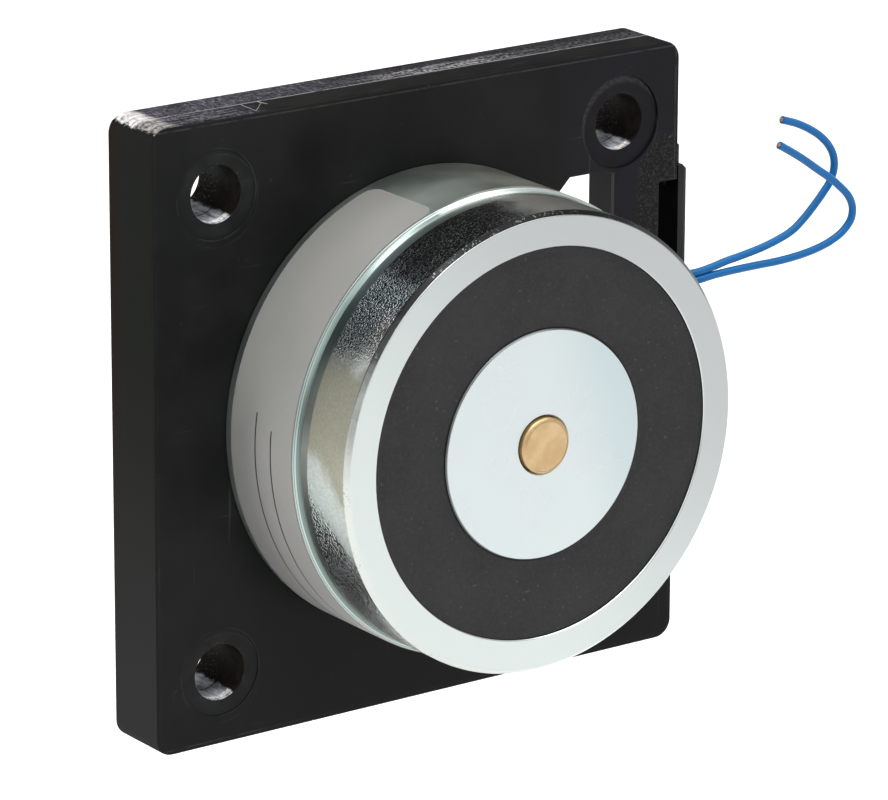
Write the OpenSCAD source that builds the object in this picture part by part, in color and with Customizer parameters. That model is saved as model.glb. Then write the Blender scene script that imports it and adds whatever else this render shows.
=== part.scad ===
// Holding electromagnet: a round pot magnet on a square moulded base,
// with a sprung ejector pin in the pole and two short flying leads.
// Millimetres. X to the right, Y towards the wall, Z up.
// Origin: centre of the base's back face, where it is screwed to the wall.
// The parts are drawn lying on their back, facing +Z, and stood up by face_front().

/* [Base plate] */
// Width and height of the square base plate
plate_w = 85; // [84:0.5:88]
// Thickness of the base plate
plate_t = 10; // [9.5:0.5:12]
// Radius of the base plate's corners
plate_r = 2.5; // [1.5:0.5:4]
// Depth of the hollow in the back of the base plate
hollow_t = 4.7; // [4.5:0.1:4.9]
// Width of the rim around the hollow back
rim_w = 3; // [2.5:0.5:3.5]
// Distance between the corner holes, both ways
hole_pitch = 65; // [64:0.5:66]
// Diameter of the corner holes
hole_d = 7.6; // [5.5:0.1:8]
// Thickness of the ribs in the hollow back
rib_w = 1.8; // [1.2:0.2:2.4]

/* [Window and cable slot] */
// Left side of the window, behind the pot
win_x0 = 18.5; // [17.5:0.5:18.5]
// Right side of the window
win_x1 = 31.4; // [30.5:0.1:32]
// Half height of the window
win_z = 26; // [25:0.1:26]
// Left side of the cable slot
slot_x = 39.4; // [39:0.1:39.5]
// Half height of the cable slot
slot_z = 23; // [20:0.5:23]

/* [Side cover] */
// Thickness of the clip-in side cover
cover_t = 1.5; // [1.2:0.1:2]
// Half height of the side cover
cover_z = 25.1; // [24.5:0.1:25.5]
// Half height of the cover's thin flange
cover_flange_z = 27.8; // [27:0.1:28]

/* [Pot] */
// Outside diameter of the rear body
pot_d = 63; // [62.5:0.1:63.5]
// Outside diameter of the front body
pot_front_d = 62; // [61.6:0.1:62.2]
// Height of the pot in front of the base plate
pot_h = 27; // [26.5:0.5:29]
// Height of the rear body, up to the shoulder
shoulder_h = 15.6; // [15.4:0.1:15.8]
// Inside diameter of the pot
pot_bore_d = 52.6; // [52.4:0.1:52.8]
// Thickness of the pot's base
pot_base_t = 6; // [6:0.5:6]
// Diameter of the pole
pole_d = 31; // [30.8:0.1:31]
// How far the resin lies below the pole faces
resin_sink = 0.4; // [0.2:0.1:0.6]

/* [Ejector pin] */
// Diameter of the ejector pin
pin_d = 7.5; // [7.5:0.02:7.56]
// Diameter of the pin's guide bore in the pole
pin_bore_d = 7.6; // [7.6:0.02:7.66]
// How far the pin stands out of the pole face
pin_out = 0.75; // [0.5:0.05:1]
// Diameter of the pin's flange
pin_flange_d = 8.3; // [8.2:0.05:8.4]

/* [Leads and label] */
// Diameter of the insulated leads
lead_d = 1.1; // [1:0.1:1.1]
// Thickness of the nameplate foil
label_t = 0.12; // [0.08:0.02:0.2]
// Angle that the nameplate foil covers
label_angle = 147; // [120:1:150]

/* [Hidden] */
$fn = 96;

e = 0.01;
face_z = plate_t + pot_h;             // height of the pole faces
pot_in_z = plate_t + pot_base_t;      // inner floor of the pot
shoulder_z = plate_t + shoulder_h;
hp = hole_pitch / 2;

// coil stack
insul_t = 0.6;
bob_z0 = pot_in_z + insul_t;
bob_flange = 1.2;
bob_z1 = face_z - resin_sink - 2.5;
wind_r0 = pole_d / 2 + 1.25;
wind_r1 = 23.3;
tape_t = 0.3;

// ejector
stop_z = face_z - 4.2;                // shoulder that stops the pin's flange
plug_z = plate_t + 8;                 // front face of the spring plug
flange_t = 2.65;
spring_wire = 0.8;
spring_r = 3.3;

// lead exit through the pot's base
gr_x = 21.6;
gr_y = 7.87;
gr_d = 6.2;
splice_r = 24.8;

// pot fixing screws, above and below the middle
fix_r = 20;
screw_z = hollow_t - 1.7;             // underside of the screw heads

// route of each lead inside the object, drawn facing +Z
in_lower = [[24.26, 5.16, 23], [24.26, 5.16, 20.5], [24.26, 5.16, 18.6],
    [23.8, 5.5, 17.6], [22.6, 6.5, 16.9], [21.6, 7.25, 16.1], [21.6, 7.25, 13],
    [21.6, 7.25, 10], [21.6, 7.25, 7.5], [22.2, 7.3, 4.8], [24, 7.4, 3.1],
    [27, 7.5, 2.5], [32, 7.8, 2.3], [36, 8.2, 2.3], [39, 8.6, 2.9],
    [40.4, 8.9, 4], [41, 8.9, 5.8], [41, 8.9, 8], [41, 8.9, plate_t]];
in_upper = [[21.9, 11.64, 23], [21.9, 11.64, 20.5], [21.9, 11.64, 18.7],
    [21.9, 11, 17.7], [21.8, 9.6, 16.9], [21.6, 8.5, 16.1], [21.6, 8.5, 13],
    [21.6, 8.5, 10], [21.6, 8.5, 7.5], [22.2, 8.6, 4.8], [24, 8.8, 3.1],
    [27, 9, 2.5], [32, 9.3, 2.3], [36, 9.7, 2.3], [39, 10.1, 2.9],
    [40.4, 10.3, 4], [41, 10.3, 5.8], [41, 10.3, 8], [41, 10.3, plate_t]];

// route of each free lead, in the object's own frame
out_upper = [[41, -plate_t, 10.3], [41, -11.6, 10.3], [41.5, -13.1, 10.5],
    [42.7, -14.1, 10.8], [44.7, -14.5, 11.2], [47.5, -14.5, 11.7],
    [50.5, -14.5, 12.1], [53.6, -14.5, 12.6], [56.5, -14.5, 13.3],
    [59, -14.5, 14.2], [60.9, -14.5, 15.5], [62.6, -14.5, 17],
    [64.2, -14.5, 18.6], [65.6, -14.5, 20.3], [66.2, -14.5, 22.1],
    [66, -14.5, 23.8], [65.1, -14.5, 25.4], [63.7, -14.5, 26.8],
    [61.8, -14.5, 28.1], [59.4, -14.5, 29.3], [56.8, -14.5, 30.2]];
out_lower = [[41, -plate_t, 8.9], [41, -11.6, 9], [41.5, -13.3, 9.4],
    [42.8, -14.4, 9.8], [45.3, -14.8, 10.2], [48.8, -15, 10.4],
    [52.3, -15.2, 10.5], [55.7, -15.5, 10.6], [58.8, -15.8, 10.9],
    [61.8, -16, 11.4], [64.4, -16.2, 12.2], [66.5, -16.4, 13.4],
    [67.7, -16.6, 15], [67.8, -16.7, 16.7], [66.9, -16.9, 18.4],
    [65.3, -17, 20], [63.5, -17, 21.5], [61.2, -17, 23.1],
    [58.6, -17.2, 24.9], [56.2, -17.4, 26.4], [54, -17.5, 27.7]];

// ---------------------------------------------------------------- helpers

module face_front() rotate([90, 0, 0]) children();

// disc or ring between two heights
module ring(r0, r1, z0, z1) {
    difference() {
        translate([0, 0, z0]) cylinder(r = r1, h = z1 - z0);
        if (r0 > 0) translate([0, 0, z0 - 1]) cylinder(r = r0, h = z1 - z0 + 2);
    }
}

// square with round corners
module slab(w, r, h) {
    union() {
        translate([-w / 2 + r, -w / 2, 0]) cube([w - 2 * r, w, h]);
        translate([-w / 2, -w / 2 + r, 0]) cube([w, w - 2 * r, h]);
        for (sx = [-1, 1], sy = [-1, 1])
            translate([sx * (w / 2 - r), sy * (w / 2 - r), 0]) cylinder(r = r, h = h);
    }
}

function unit(v) = v / norm(v);
// direction of the route at point i
function heading(p, i) = let (n = len(p) - 1)
    i == 0 ? unit(p[1] - p[0]) :
    i == n ? unit(p[n] - p[n - 1]) :
    unit(unit(p[i] - p[i - 1]) + unit(p[i + 1] - p[i]));
// sideways vectors carried along the route without twisting
function sides(p, i) = i == 0 ?
    let (t = heading(p, 0), a = abs(t[2]) < 0.9 ? [0, 0, 1] : [1, 0, 0])
    unit(cross(t, a)) :
    let (t = heading(p, i), s = sides(p, i - 1))
    unit(s - (s * t) * t);

// round tube along a route, one ring of corners at each point
module tube(p, d, n = 8) {
    rings = [for (i = [0 : len(p) - 1])
        let (t = heading(p, i), s = sides(p, i), u = cross(t, s))
        for (k = [0 : n - 1])
            p[i] + d / 2 * (cos(360 * k / n) * s + sin(360 * k / n) * u)];
    last = len(p) - 1;
    faces = concat(
        [[for (k = [0 : n - 1]) k]],
        [for (i = [0 : last - 1], k = [0 : n - 1])
            [i * n + k, (i + 1) * n + k, (i + 1) * n + (k + 1) % n, i * n + (k + 1) % n]],
        [[for (k = [n - 1 : -1 : 0]) last * n + k]]);
    polyhedron(points = rings, faces = faces, convexity = 6);
}

// ---------------------------------------------------------------- base plate

// hollow in the back, with the ribs and bosses left standing in it
module back_hollow() {
    difference() {
        translate([0, 0, -1]) slab(plate_w - 2 * rim_w, 1.5, hollow_t + 1);
        // bosses around the corner holes
        for (sx = [-1, 1], sy = [-1, 1])
            translate([sx * hp, sy * hp, -2]) cylinder(d = 13.4, h = hollow_t + 4);
        // ring rib behind the pot's rim, left of the window
        difference() {
            ring(25.2, 25.2 + rib_w, -2, hollow_t + 2);
            translate([win_x0 - 2.2, -40, -3]) cube([60, 80, hollow_t + 6]);
        }
        // ribs from the ring to the rim and the corners
        for (a = [90, 135, 180, 225, 270])
            rotate([0, 0, a]) translate([25.6, -rib_w / 2, -2]) cube([17, rib_w, hollow_t + 4]);
        // wall beside the window
        translate([win_x0 - 2, -19, -2]) cube([2, 38, hollow_t + 4]);
        // short ribs that carry the right-hand corners
        for (s = [-1, 1])
            translate([23, s * (win_z + 1.6) - rib_w / 2, -2]) cube([20, rib_w, hollow_t + 4]);
        for (s = [-1, 1])
            translate([32.5 - rib_w / 2, s > 0 ? 32 : -44, -2]) cube([rib_w, 12, hollow_t + 4]);
    }
}

// window beside the pot, with its corners cut at 45 degrees on the pot's side
module window() {
    c = 24.3 - win_x0;
    translate([0, 0, -1]) linear_extrude(plate_t + 2)
        polygon([[win_x1, win_z], [24.3, win_z], [win_x0, win_z - c],
            [win_x0, -win_z + c], [24.3, -win_z], [win_x1, -win_z]]);
}

module mounting_plate() color([0.15, 0.15, 0.155]) face_front() {
    difference() {
        slab(plate_w, plate_r, plate_t);
        back_hollow();
        window();
        // corner holes, straight through
        for (sx = [-1, 1], sy = [-1, 1])
            translate([sx * hp, sy * hp, -1]) cylinder(d = hole_d, h = plate_t + 2);
        // shallow seats around the holes
        for (s = [-1, 1]) {
            translate([hp, s * hp, plate_t - 0.35]) cylinder(d = 12.8, h = 2);
            translate([-hp, s * hp, plate_t - 0.12]) cylinder(d = 12, h = 2);
        }
        // cable slot, open to the right
        translate([slot_x, -slot_z, -1]) cube([10, 2 * slot_z, plate_t + 2]);
        // notches that catch the side cover
        for (s = [-1, 1])
            translate([slot_x + 0.1, s > 0 ? slot_z - 1 : -slot_z - 0.8, 2.6])
                cube([1.7, 1.8, 5]);
        // screw holes and the opening behind the spring plug
        for (s = [-1, 1])
            translate([0, s * fix_r, -1]) cylinder(d = 4.5, h = plate_t + 2);
        translate([0, 0, -1]) cylinder(d = 13, h = plate_t + 2);
    }
}

// cover of the side opening, held by two hooked arms
module side_cover() color([0.17, 0.17, 0.17]) face_front() {
    x0 = plate_w / 2;
    union() {
        difference() {
            translate([x0, -cover_z, 0.3]) cube([cover_t, 2 * cover_z, plate_t - 0.3]);
            // bevelled ends
            for (s = [-1, 1])
                translate([x0 + cover_t, s * cover_z, 0]) rotate([0, 0, 45])
                    translate([-0.5, -0.5, -1]) cube([1, 1, plate_t + 2]);
        }
        translate([x0, -cover_flange_z, 0.6]) cube([0.7, 2 * cover_flange_z, plate_t - 1.2]);
        for (s = [-1, 1]) {
            translate([slot_x + 0.4, s > 0 ? slot_z - 1.3 : -slot_z + 0.1, 2.8])
                cube([x0 - slot_x - 0.4 + 0.2, 1.2, 4.6]);
            translate([slot_x + 0.4, s > 0 ? slot_z - 0.2 : -slot_z - 0.6, 2.8])
                cube([1.1, 0.8, 4.6]);
        }
    }
}

// ---------------------------------------------------------------- pot

module pot_shell() color([0.72, 0.75, 0.74]) face_front() {
    r = pot_d / 2;
    rf = pot_front_d / 2;
    ri = pot_bore_d / 2;
    difference() {
        rotate_extrude($fn = 144) polygon([[12, plate_t], [r - 0.3, plate_t],
            [r, plate_t + 0.3], [r, shoulder_z], [r - 0.75, shoulder_z + 0.75],
            [rf - 0.15, shoulder_z + 0.75], [rf - 0.15, shoulder_z + 2.4],
            [rf, shoulder_z + 2.55], [rf, face_z - 0.7], [rf - 0.6, face_z],
            [ri + 0.15, face_z], [ri, face_z - 0.15], [ri, pot_in_z], [12, pot_in_z]]);
        // lead hole in the base
        translate([gr_x, gr_y, plate_t - 1]) cylinder(d = gr_d, h = pot_base_t + 2);
        // threaded holes for the fixing screws
        for (s = [-1, 1])
            translate([0, s * fix_r, plate_t - 1]) cylinder(d = 4, h = pot_base_t + 2);
    }
}

// pole, pressed into the pot's base, bored from the back for the ejector
module pole_core() color([0.80, 0.82, 0.81]) face_front() {
    rp = pole_d / 2;
    rb = pin_bore_d / 2;
    rotate_extrude() polygon([[5, plate_t], [12, plate_t], [12, pot_in_z],
        [rp, pot_in_z], [rp, face_z - 0.2], [rp - 0.2, face_z],
        [rb + 0.27, face_z], [rb, face_z - 0.3], [rb, stop_z],
        [4.25, stop_z], [4.25, plug_z], [5, plug_z]]);
}

// fibre washer under the bobbin
module base_insulator() color([0.62, 0.33, 0.20]) face_front() {
    difference() {
        ring(pole_d / 2 + 0.15, pot_bore_d / 2 - 0.2, pot_in_z, pot_in_z + insul_t);
        translate([gr_x, gr_y, pot_in_z - 1]) cylinder(d = gr_d, h = 3);
        rotate([0, 0, 20]) translate([20, -4.5, pot_in_z - 1]) cube([8, 9, 3]);
    }
}

module coil_bobbin() color([0.93, 0.91, 0.85]) face_front() {
    r0 = pole_d / 2 + 0.15;
    r2 = pot_bore_d / 2 - 0.5;
    difference() {
        rotate_extrude() polygon([[r0, bob_z0], [r2, bob_z0], [r2, bob_z0 + bob_flange],
            [wind_r0, bob_z0 + bob_flange], [wind_r0, bob_z1 - bob_flange],
            [r2, bob_z1 - bob_flange], [r2, bob_z1], [r0, bob_z1]]);
        // notch for the leads in the rear flange
        rotate([0, 0, 20]) translate([20, -4.5, bob_z0 - 1]) cube([8, 9, bob_flange + 1.5]);
        translate([gr_x, gr_y, bob_z0 - 1]) cylinder(d = gr_d, h = bob_flange + 1.2);
    }
}

// wound coil with its two wire tails
module coil_winding() color([0.72, 0.38, 0.18]) face_front() {
    union() {
        difference() {
            ring(wind_r0, wind_r1, bob_z0 + bob_flange, bob_z1 - bob_flange);
            rotate([0, 0, 20]) translate([19.9, -4.6, bob_z0]) cube([8, 9.2, bob_flange + 0.45]);
        }
        for (a = [12, 28]) rotate([0, 0, a]) {
            translate([splice_r, 0, 27]) cylinder(d = 0.5, h = 4.5, $fn = 24);
            translate([wind_r1 - 0.5, 0, 31.25]) rotate([0, 90, 0])
                cylinder(d = 0.5, h = splice_r - wind_r1 + 0.5, $fn = 24);
        }
    }
}

module winding_tape() color([0.85, 0.75, 0.25]) face_front() {
    difference() {
        ring(wind_r1, wind_r1 + tape_t, bob_z0 + bob_flange, bob_z1 - bob_flange);
        rotate([0, 0, 20]) translate([19.9, -4.6, bob_z0]) cube([8, 9.2, bob_flange + 0.45]);
        for (a = [12, 28]) rotate([0, 0, a])
            translate([wind_r1 - 1, 0, 31.25]) rotate([0, 90, 0]) cylinder(d = 0.6, h = 3, $fn = 24);
    }
}

// resin cast over the coil, between the pole and the pot's wall
module potting_ring() color([0.24, 0.24, 0.245]) face_front()
    ring(pole_d / 2, pot_bore_d / 2, bob_z1, face_z - resin_sink);

// ---------------------------------------------------------------- ejector

module ejector_pin() color([0.84, 0.67, 0.45]) face_front() {
    r = pin_d / 2;
    top = face_z + pin_out;
    rotate_extrude() polygon([[0, stop_z - 5.7], [2, stop_z - 5.7], [2.2, stop_z - 5.5],
        [2.2, stop_z - 0.05 - flange_t], [pin_flange_d / 2, stop_z - 0.05 - flange_t],
        [pin_flange_d / 2, stop_z - 0.05], [r, stop_z - 0.05], [r, top - 0.35],
        [r - 0.35, top], [0, top]]);
}

// compression spring, one closed turn at each end
module ejector_spring() color([0.70, 0.71, 0.72]) face_front() {
    z0 = plug_z + spring_wire / 2 + 0.05;
    z1 = stop_z - 0.05 - flange_t - spring_wire / 2 - 0.05;
    turns = 8;
    per = 14;
    n = turns * per;
    lay = spring_wire * 1.04;
    pts = [for (i = [0 : n]) let (t = i / per,
        z = t < 1 ? z0 + lay * t :
            t > turns - 1 ? z1 - lay * (turns - t) :
            z0 + lay + (z1 - z0 - 2 * lay) * (t - 1) / (turns - 2))
        [spring_r * cos(360 * t), spring_r * sin(360 * t), z]];
    tube(pts, spring_wire, 6);
}

// grub screw that closes the pole's bore and carries the spring
module spring_plug() color([0.28, 0.28, 0.29]) face_front() {
    difference() {
        translate([0, 0, plate_t + 0.6]) cylinder(r = 4.95, h = plug_z - plate_t - 0.6);
        translate([0, 0, plate_t]) cylinder(d = 5.77, h = 4.6, $fn = 6);
    }
}

// ---------------------------------------------------------------- fasteners

module fixing_screws() color([0.74, 0.75, 0.76]) face_front()
    for (s = [-1, 1]) translate([0, s * fix_r, 0]) difference() {
        union() {
            translate([0, 0, screw_z - 2.7]) cylinder(d = 7.6, h = 2.7);
            translate([0, 0, screw_z - 0.5]) cylinder(d = 3.9, h = 12);
        }
        // cross recess
        for (a = [0, 90]) rotate([0, 0, a]) translate([-2.1, -0.45, screw_z - 3.5]) cube([4.2, 0.9, 2.2]);
    }

module lock_washers() color([0.66, 0.67, 0.68]) face_front()
    for (s = [-1, 1]) translate([0, s * fix_r, screw_z])
        rotate_extrude(angle = 345) translate([2.05, 0]) square([1.6, 0.9]);

module flat_washers() color([0.78, 0.79, 0.80]) face_front()
    for (s = [-1, 1]) translate([0, s * fix_r, 0]) ring(2.15, 4.5, hollow_t - 0.8, hollow_t);

// ---------------------------------------------------------------- leads

// rubber bush where the leads pass through the pot's base
module lead_grommet() color([0.12, 0.12, 0.12]) face_front()
    translate([gr_x, gr_y, 0]) difference() {
        union() {
            translate([0, 0, plate_t - 1.1]) cylinder(r = 3.0, h = 1.2);
            translate([0, 0, plate_t]) cylinder(d = gr_d, h = pot_base_t);
        }
        translate([0, 0, plate_t - 2]) cylinder(r = 1.3, h = pot_base_t + 3);
    }

module splice_sleeves() color([0.92, 0.90, 0.86]) face_front()
    for (a = [12, 28]) rotate([0, 0, a]) translate([splice_r, 0, 20.5]) difference() {
        cylinder(d = 2.1, h = 10, $fn = 48);
        translate([0, 0, -1]) cylinder(d = 1.3, h = 12, $fn = 48);
    }

module solder_joints() color([0.76, 0.77, 0.78]) face_front()
    for (a = [12, 28]) rotate([0, 0, a])
        translate([splice_r, 0, 23]) cylinder(d = 1, h = 4, $fn = 32);

// leads from the splices, through the grommet and the hollow, to the slot
module inner_leads() color([0.04, 0.43, 0.71]) face_front() {
    tube(in_lower, lead_d);
    tube(in_upper, lead_d);
}

module lead_upper() color([0.04, 0.43, 0.71]) tube(out_upper, lead_d);

module lead_lower() color([0.04, 0.43, 0.71]) tube(out_lower, lead_d);

// conductor showing at the cut end of each lead
module bare_end(p) {
    n = len(p) - 1;
    t = unit(p[n] - p[n - 1]);
    translate(p[n]) rotate([0, acos(t[2]), atan2(t[1], t[0])]) cylinder(d = 0.55, h = 0.25, $fn = 24);
}

module bare_ends() color([0.80, 0.52, 0.34]) {
    bare_end(out_upper);
    bare_end(out_lower);
}

// ---------------------------------------------------------------- label

// blank foil nameplate around the left of the rear body, with round corners
module label() color([0.69, 0.68, 0.66]) face_front() {
    r = pot_d / 2;
    z0 = plate_t + 1.6;
    z1 = shoulder_z - 0.2;
    a0 = 180 - label_angle / 2;
    c = 2;
    difference() {
        rotate([0, 0, a0]) rotate_extrude(angle = label_angle, $fn = 144)
            translate([r, z0]) square([label_t, z1 - z0]);
        // round the four corners
        for (s = [0, 1], t = [0, 1])
            rotate([0, 0, a0 + s * label_angle]) mirror([0, s, 0])
                translate([0, 0, t ? z1 : z0]) mirror([0, 0, t])
                    translate([r - 2, 0, 0]) rotate([90, 0, 90]) linear_extrude(4)
                        difference() {
                            translate([-1, -1]) square([c + 1, c + 1]);
                            translate([c, c]) circle(r = c);
                        }
    }
}

mounting_plate();
side_cover();
pot_shell();
pole_core();
base_insulator();
coil_bobbin();
coil_winding();
winding_tape();
potting_ring();
ejector_pin();
ejector_spring();
spring_plug();
fixing_screws();
lock_washers();
flat_washers();
lead_grommet();
splice_sleeves();
solder_joints();
inner_leads();
lead_upper();
lead_lower();
bare_ends();
label();
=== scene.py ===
"""Looks of a wall-mounted holding electromagnet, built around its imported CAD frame.

Everything is in metres, in the CAD frame: X to the right, Y towards the wall, Z up,
and the origin in the middle of the plate's back face.
"""
import math

import bmesh
import bpy
import numpy as np
from mathutils import Matrix, Vector
from mathutils.geometry import delaunay_2d_cdt

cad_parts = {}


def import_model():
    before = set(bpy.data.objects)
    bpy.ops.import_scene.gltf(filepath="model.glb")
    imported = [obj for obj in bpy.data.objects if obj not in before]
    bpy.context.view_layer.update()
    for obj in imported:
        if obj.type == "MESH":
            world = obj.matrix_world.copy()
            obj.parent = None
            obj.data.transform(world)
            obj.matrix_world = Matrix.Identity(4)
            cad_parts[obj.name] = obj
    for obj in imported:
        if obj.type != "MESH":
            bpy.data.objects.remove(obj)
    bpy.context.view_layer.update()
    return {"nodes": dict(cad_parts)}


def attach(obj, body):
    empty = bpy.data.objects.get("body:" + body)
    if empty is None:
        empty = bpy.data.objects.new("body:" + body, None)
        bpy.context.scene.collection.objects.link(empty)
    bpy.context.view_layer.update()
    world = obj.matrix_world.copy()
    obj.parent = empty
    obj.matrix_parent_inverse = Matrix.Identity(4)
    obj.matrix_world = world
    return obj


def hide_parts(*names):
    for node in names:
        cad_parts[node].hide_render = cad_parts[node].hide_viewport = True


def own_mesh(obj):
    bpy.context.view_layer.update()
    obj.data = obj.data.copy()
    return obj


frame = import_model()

scene = bpy.context.scene
MM = 0.001

# Sizes that the pieces below share with the CAD, in millimetres.
PLATE_W, PLATE_T = 85.0, 10.0
FACE = 37.0            # pole faces, in front of the wall
SHOULDER = 25.6
POT_R, POT_FRONT_R, POT_BORE_R = 31.5, 31.0, 26.3
POLE_R = 15.5


# ------------------------------------------------------------------ camera

def make_camera():
    """The photograph's viewpoint: 35 degrees to the left, 17 above."""
    az, el, dist = math.radians(-35.0676), math.radians(17.0178), 0.7840008
    yaw, pitch, roll = (math.radians(a) for a in (-35.7335, 17.2497, 0.2355))
    place = Vector((math.sin(az) * math.cos(el), -math.cos(az) * math.cos(el), math.sin(el))) * dist
    forward = -Vector((math.sin(yaw) * math.cos(pitch), -math.cos(yaw) * math.cos(pitch), math.sin(pitch)))
    right = forward.cross(Vector((0, 0, 1))).normalized()
    up = right.cross(forward).normalized()
    c, s = math.cos(roll), math.sin(roll)
    right, up = c * right + s * up, -s * right + c * up
    data = bpy.data.cameras.new("camera")
    data.sensor_width = 36.0
    data.lens = 5841.6511 * 36.0 / 888.0
    data.clip_start, data.clip_end = 0.01, 100.0
    ob = bpy.data.objects.new("camera", data)
    scene.collection.objects.link(ob)
    m = Matrix.Identity(4)
    for i, axis in enumerate((right, up, -forward)):
        for k in range(3):
            m[k][i] = axis[k]
    m.translation = place
    ob.matrix_world = m
    scene.camera = ob


make_camera()


# ------------------------------------------------------------------ mesh helpers

def link(name, mesh, body="magnet", replaces=()):
    ob = bpy.data.objects.new(name, mesh)
    scene.collection.objects.link(ob)
    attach(ob, body)
    if replaces:
        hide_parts(*replaces)
    return ob


def smooth(mesh, angle=32.0):
    """Smooth shading, with edges sharper than the angle kept sharp."""
    mesh.shade_smooth()
    mesh.set_sharp_from_angle(angle=math.radians(angle))


def weighted(ob):
    """Normals follow the large faces, so flat faces stay flat beside small roundings."""
    mod = ob.modifiers.new("weighted", "WEIGHTED_NORMAL")
    mod.keep_sharp = True
    mod.weight = 90
    return ob


def rounded(points, steps=4):
    """Closed outline of (x, y, radius) with each corner rounded by its radius."""
    n, out = len(points), []
    for i, (x, y, r) in enumerate(points):
        p = Vector((x, y))
        a = (Vector(points[i - 1][:2]) - p)
        b = (Vector(points[(i + 1) % n][:2]) - p)
        if r <= 0:
            out.append((x, y))
            continue
        half = a.angle(b) / 2
        cut = min(r / math.tan(half), a.length * 0.45, b.length * 0.45)
        rr = cut * math.tan(half)
        a.normalize(), b.normalize()
        centre = p + (a + b).normalized() * (rr / math.sin(half))
        s, t = p + a * cut - centre, p + b * cut - centre
        turn = math.atan2(s.x * t.y - s.y * t.x, s.dot(t))
        for k in range(steps + 1):
            f = turn * k / steps
            c, d = math.cos(f), math.sin(f)
            out.append((centre.x + s.x * c - s.y * d, centre.y + s.x * d + s.y * c))
    return out


def inside(p, ring):
    """Whether the point lies inside the closed ring, an array of corners."""
    a, b = ring, np.roll(ring, -1, axis=0)
    over = (a[:, 1] > p[1]) != (b[:, 1] > p[1])
    a, b = a[over], b[over]
    return int((p[0] < a[:, 0] + (p[1] - a[:, 1]) * (b[:, 0] - a[:, 0]) / (b[:, 1] - a[:, 1])).sum()) % 2


class Solid:
    """Points and faces of one closed piece, drawn lying on its back in millimetres
    (x, y across, z towards the holding face) and stood up in the CAD frame."""

    def __init__(self):
        self.points, self.faces = [], []

    def add(self, pts):
        first = len(self.points)
        self.points.extend(pts)
        return list(range(first, len(self.points)))

    def circle(self, r, z, n, cx=0.0, cy=0.0):
        return self.add([(cx + r * math.cos(2 * math.pi * k / n), cy + r * math.sin(2 * math.pi * k / n), z)
                         for k in range(n)])

    def bridge(self, a, b):
        """Wall between two loops of the same count."""
        n = len(a)
        for k in range(n):
            m = (k + 1) % n
            self.faces.append((a[k], a[m], b[m], b[k]))

    def cap(self, loops, uv=lambda p: (p[0], p[1])):
        """Flat face between loops of points: what lies inside an odd number of them."""
        idx = [i for loop in loops for i in loop]
        flat = [uv(self.points[i]) for i in idx]
        edges, at, rings = [], 0, []
        for loop in loops:
            n = len(loop)
            edges += [(at + k, at + (k + 1) % n) for k in range(n)]
            rings.append(np.array(flat[at:at + n]))
            at += n
        got = delaunay_2d_cdt([Vector(q) for q in flat], edges, [], 0, 1e-7)
        back = [o[0] for o in got[3]]
        for t in got[2]:
            mid = sum((got[0][k] for k in t), Vector((0, 0))) / 3
            if sum(inside(mid, ring) for ring in rings) % 2:
                self.faces.append(tuple(idx[back[k]] for k in t))

    def mesh(self, name):
        me = bpy.data.meshes.new(name)
        me.from_pydata([(x * MM, -z * MM, y * MM) for x, y, z in self.points], [], self.faces)
        bm = bmesh.new()
        bm.from_mesh(me)
        bmesh.ops.recalc_face_normals(bm, faces=bm.faces)
        bm.to_mesh(me)
        bm.free()
        me.update()
        return me


def lathe(profile, n=256):
    """Closed solid turned from a closed outline of (radius, height). Points on the axis become one point."""
    s = Solid()
    rings = []
    for r, z in profile:
        rings.append(s.add([(0.0, 0.0, z)]) if r < 1e-9 else s.circle(r, z, n))
    count = len(rings)
    for i in range(count):
        a, b = rings[i], rings[(i + 1) % count]
        if len(a) == 1 and len(b) == 1:
            continue
        if len(a) == 1 or len(b) == 1:
            tip, ring = (a[0], b) if len(a) == 1 else (b[0], a)
            for k in range(n):
                s.faces.append((tip, ring[k], ring[(k + 1) % n]))
        else:
            s.bridge(a, b)
    return s


def plain_mesh(node):
    """A CAD node's own surface with its split corners joined and its flat faces made whole, as a bmesh."""
    src = frame["nodes"][node].data
    co = np.zeros(len(src.vertices) * 3)
    src.vertices.foreach_get("co", co)
    me = bpy.data.meshes.new(node + "_plain")
    me.from_pydata(co.reshape(-1, 3).tolist(), [], [tuple(p.vertices) for p in src.polygons])
    bm = bmesh.new()
    bm.from_mesh(me)
    bpy.data.meshes.remove(me)
    bmesh.ops.remove_doubles(bm, verts=bm.verts, dist=2e-6)
    bmesh.ops.dissolve_degenerate(bm, edges=bm.edges, dist=1e-7)
    bmesh.ops.dissolve_limit(bm, angle_limit=math.radians(0.4), use_dissolve_boundaries=False,
                             verts=bm.verts, edges=bm.edges)
    bmesh.ops.recalc_face_normals(bm, faces=bm.faces)
    return bm


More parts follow.
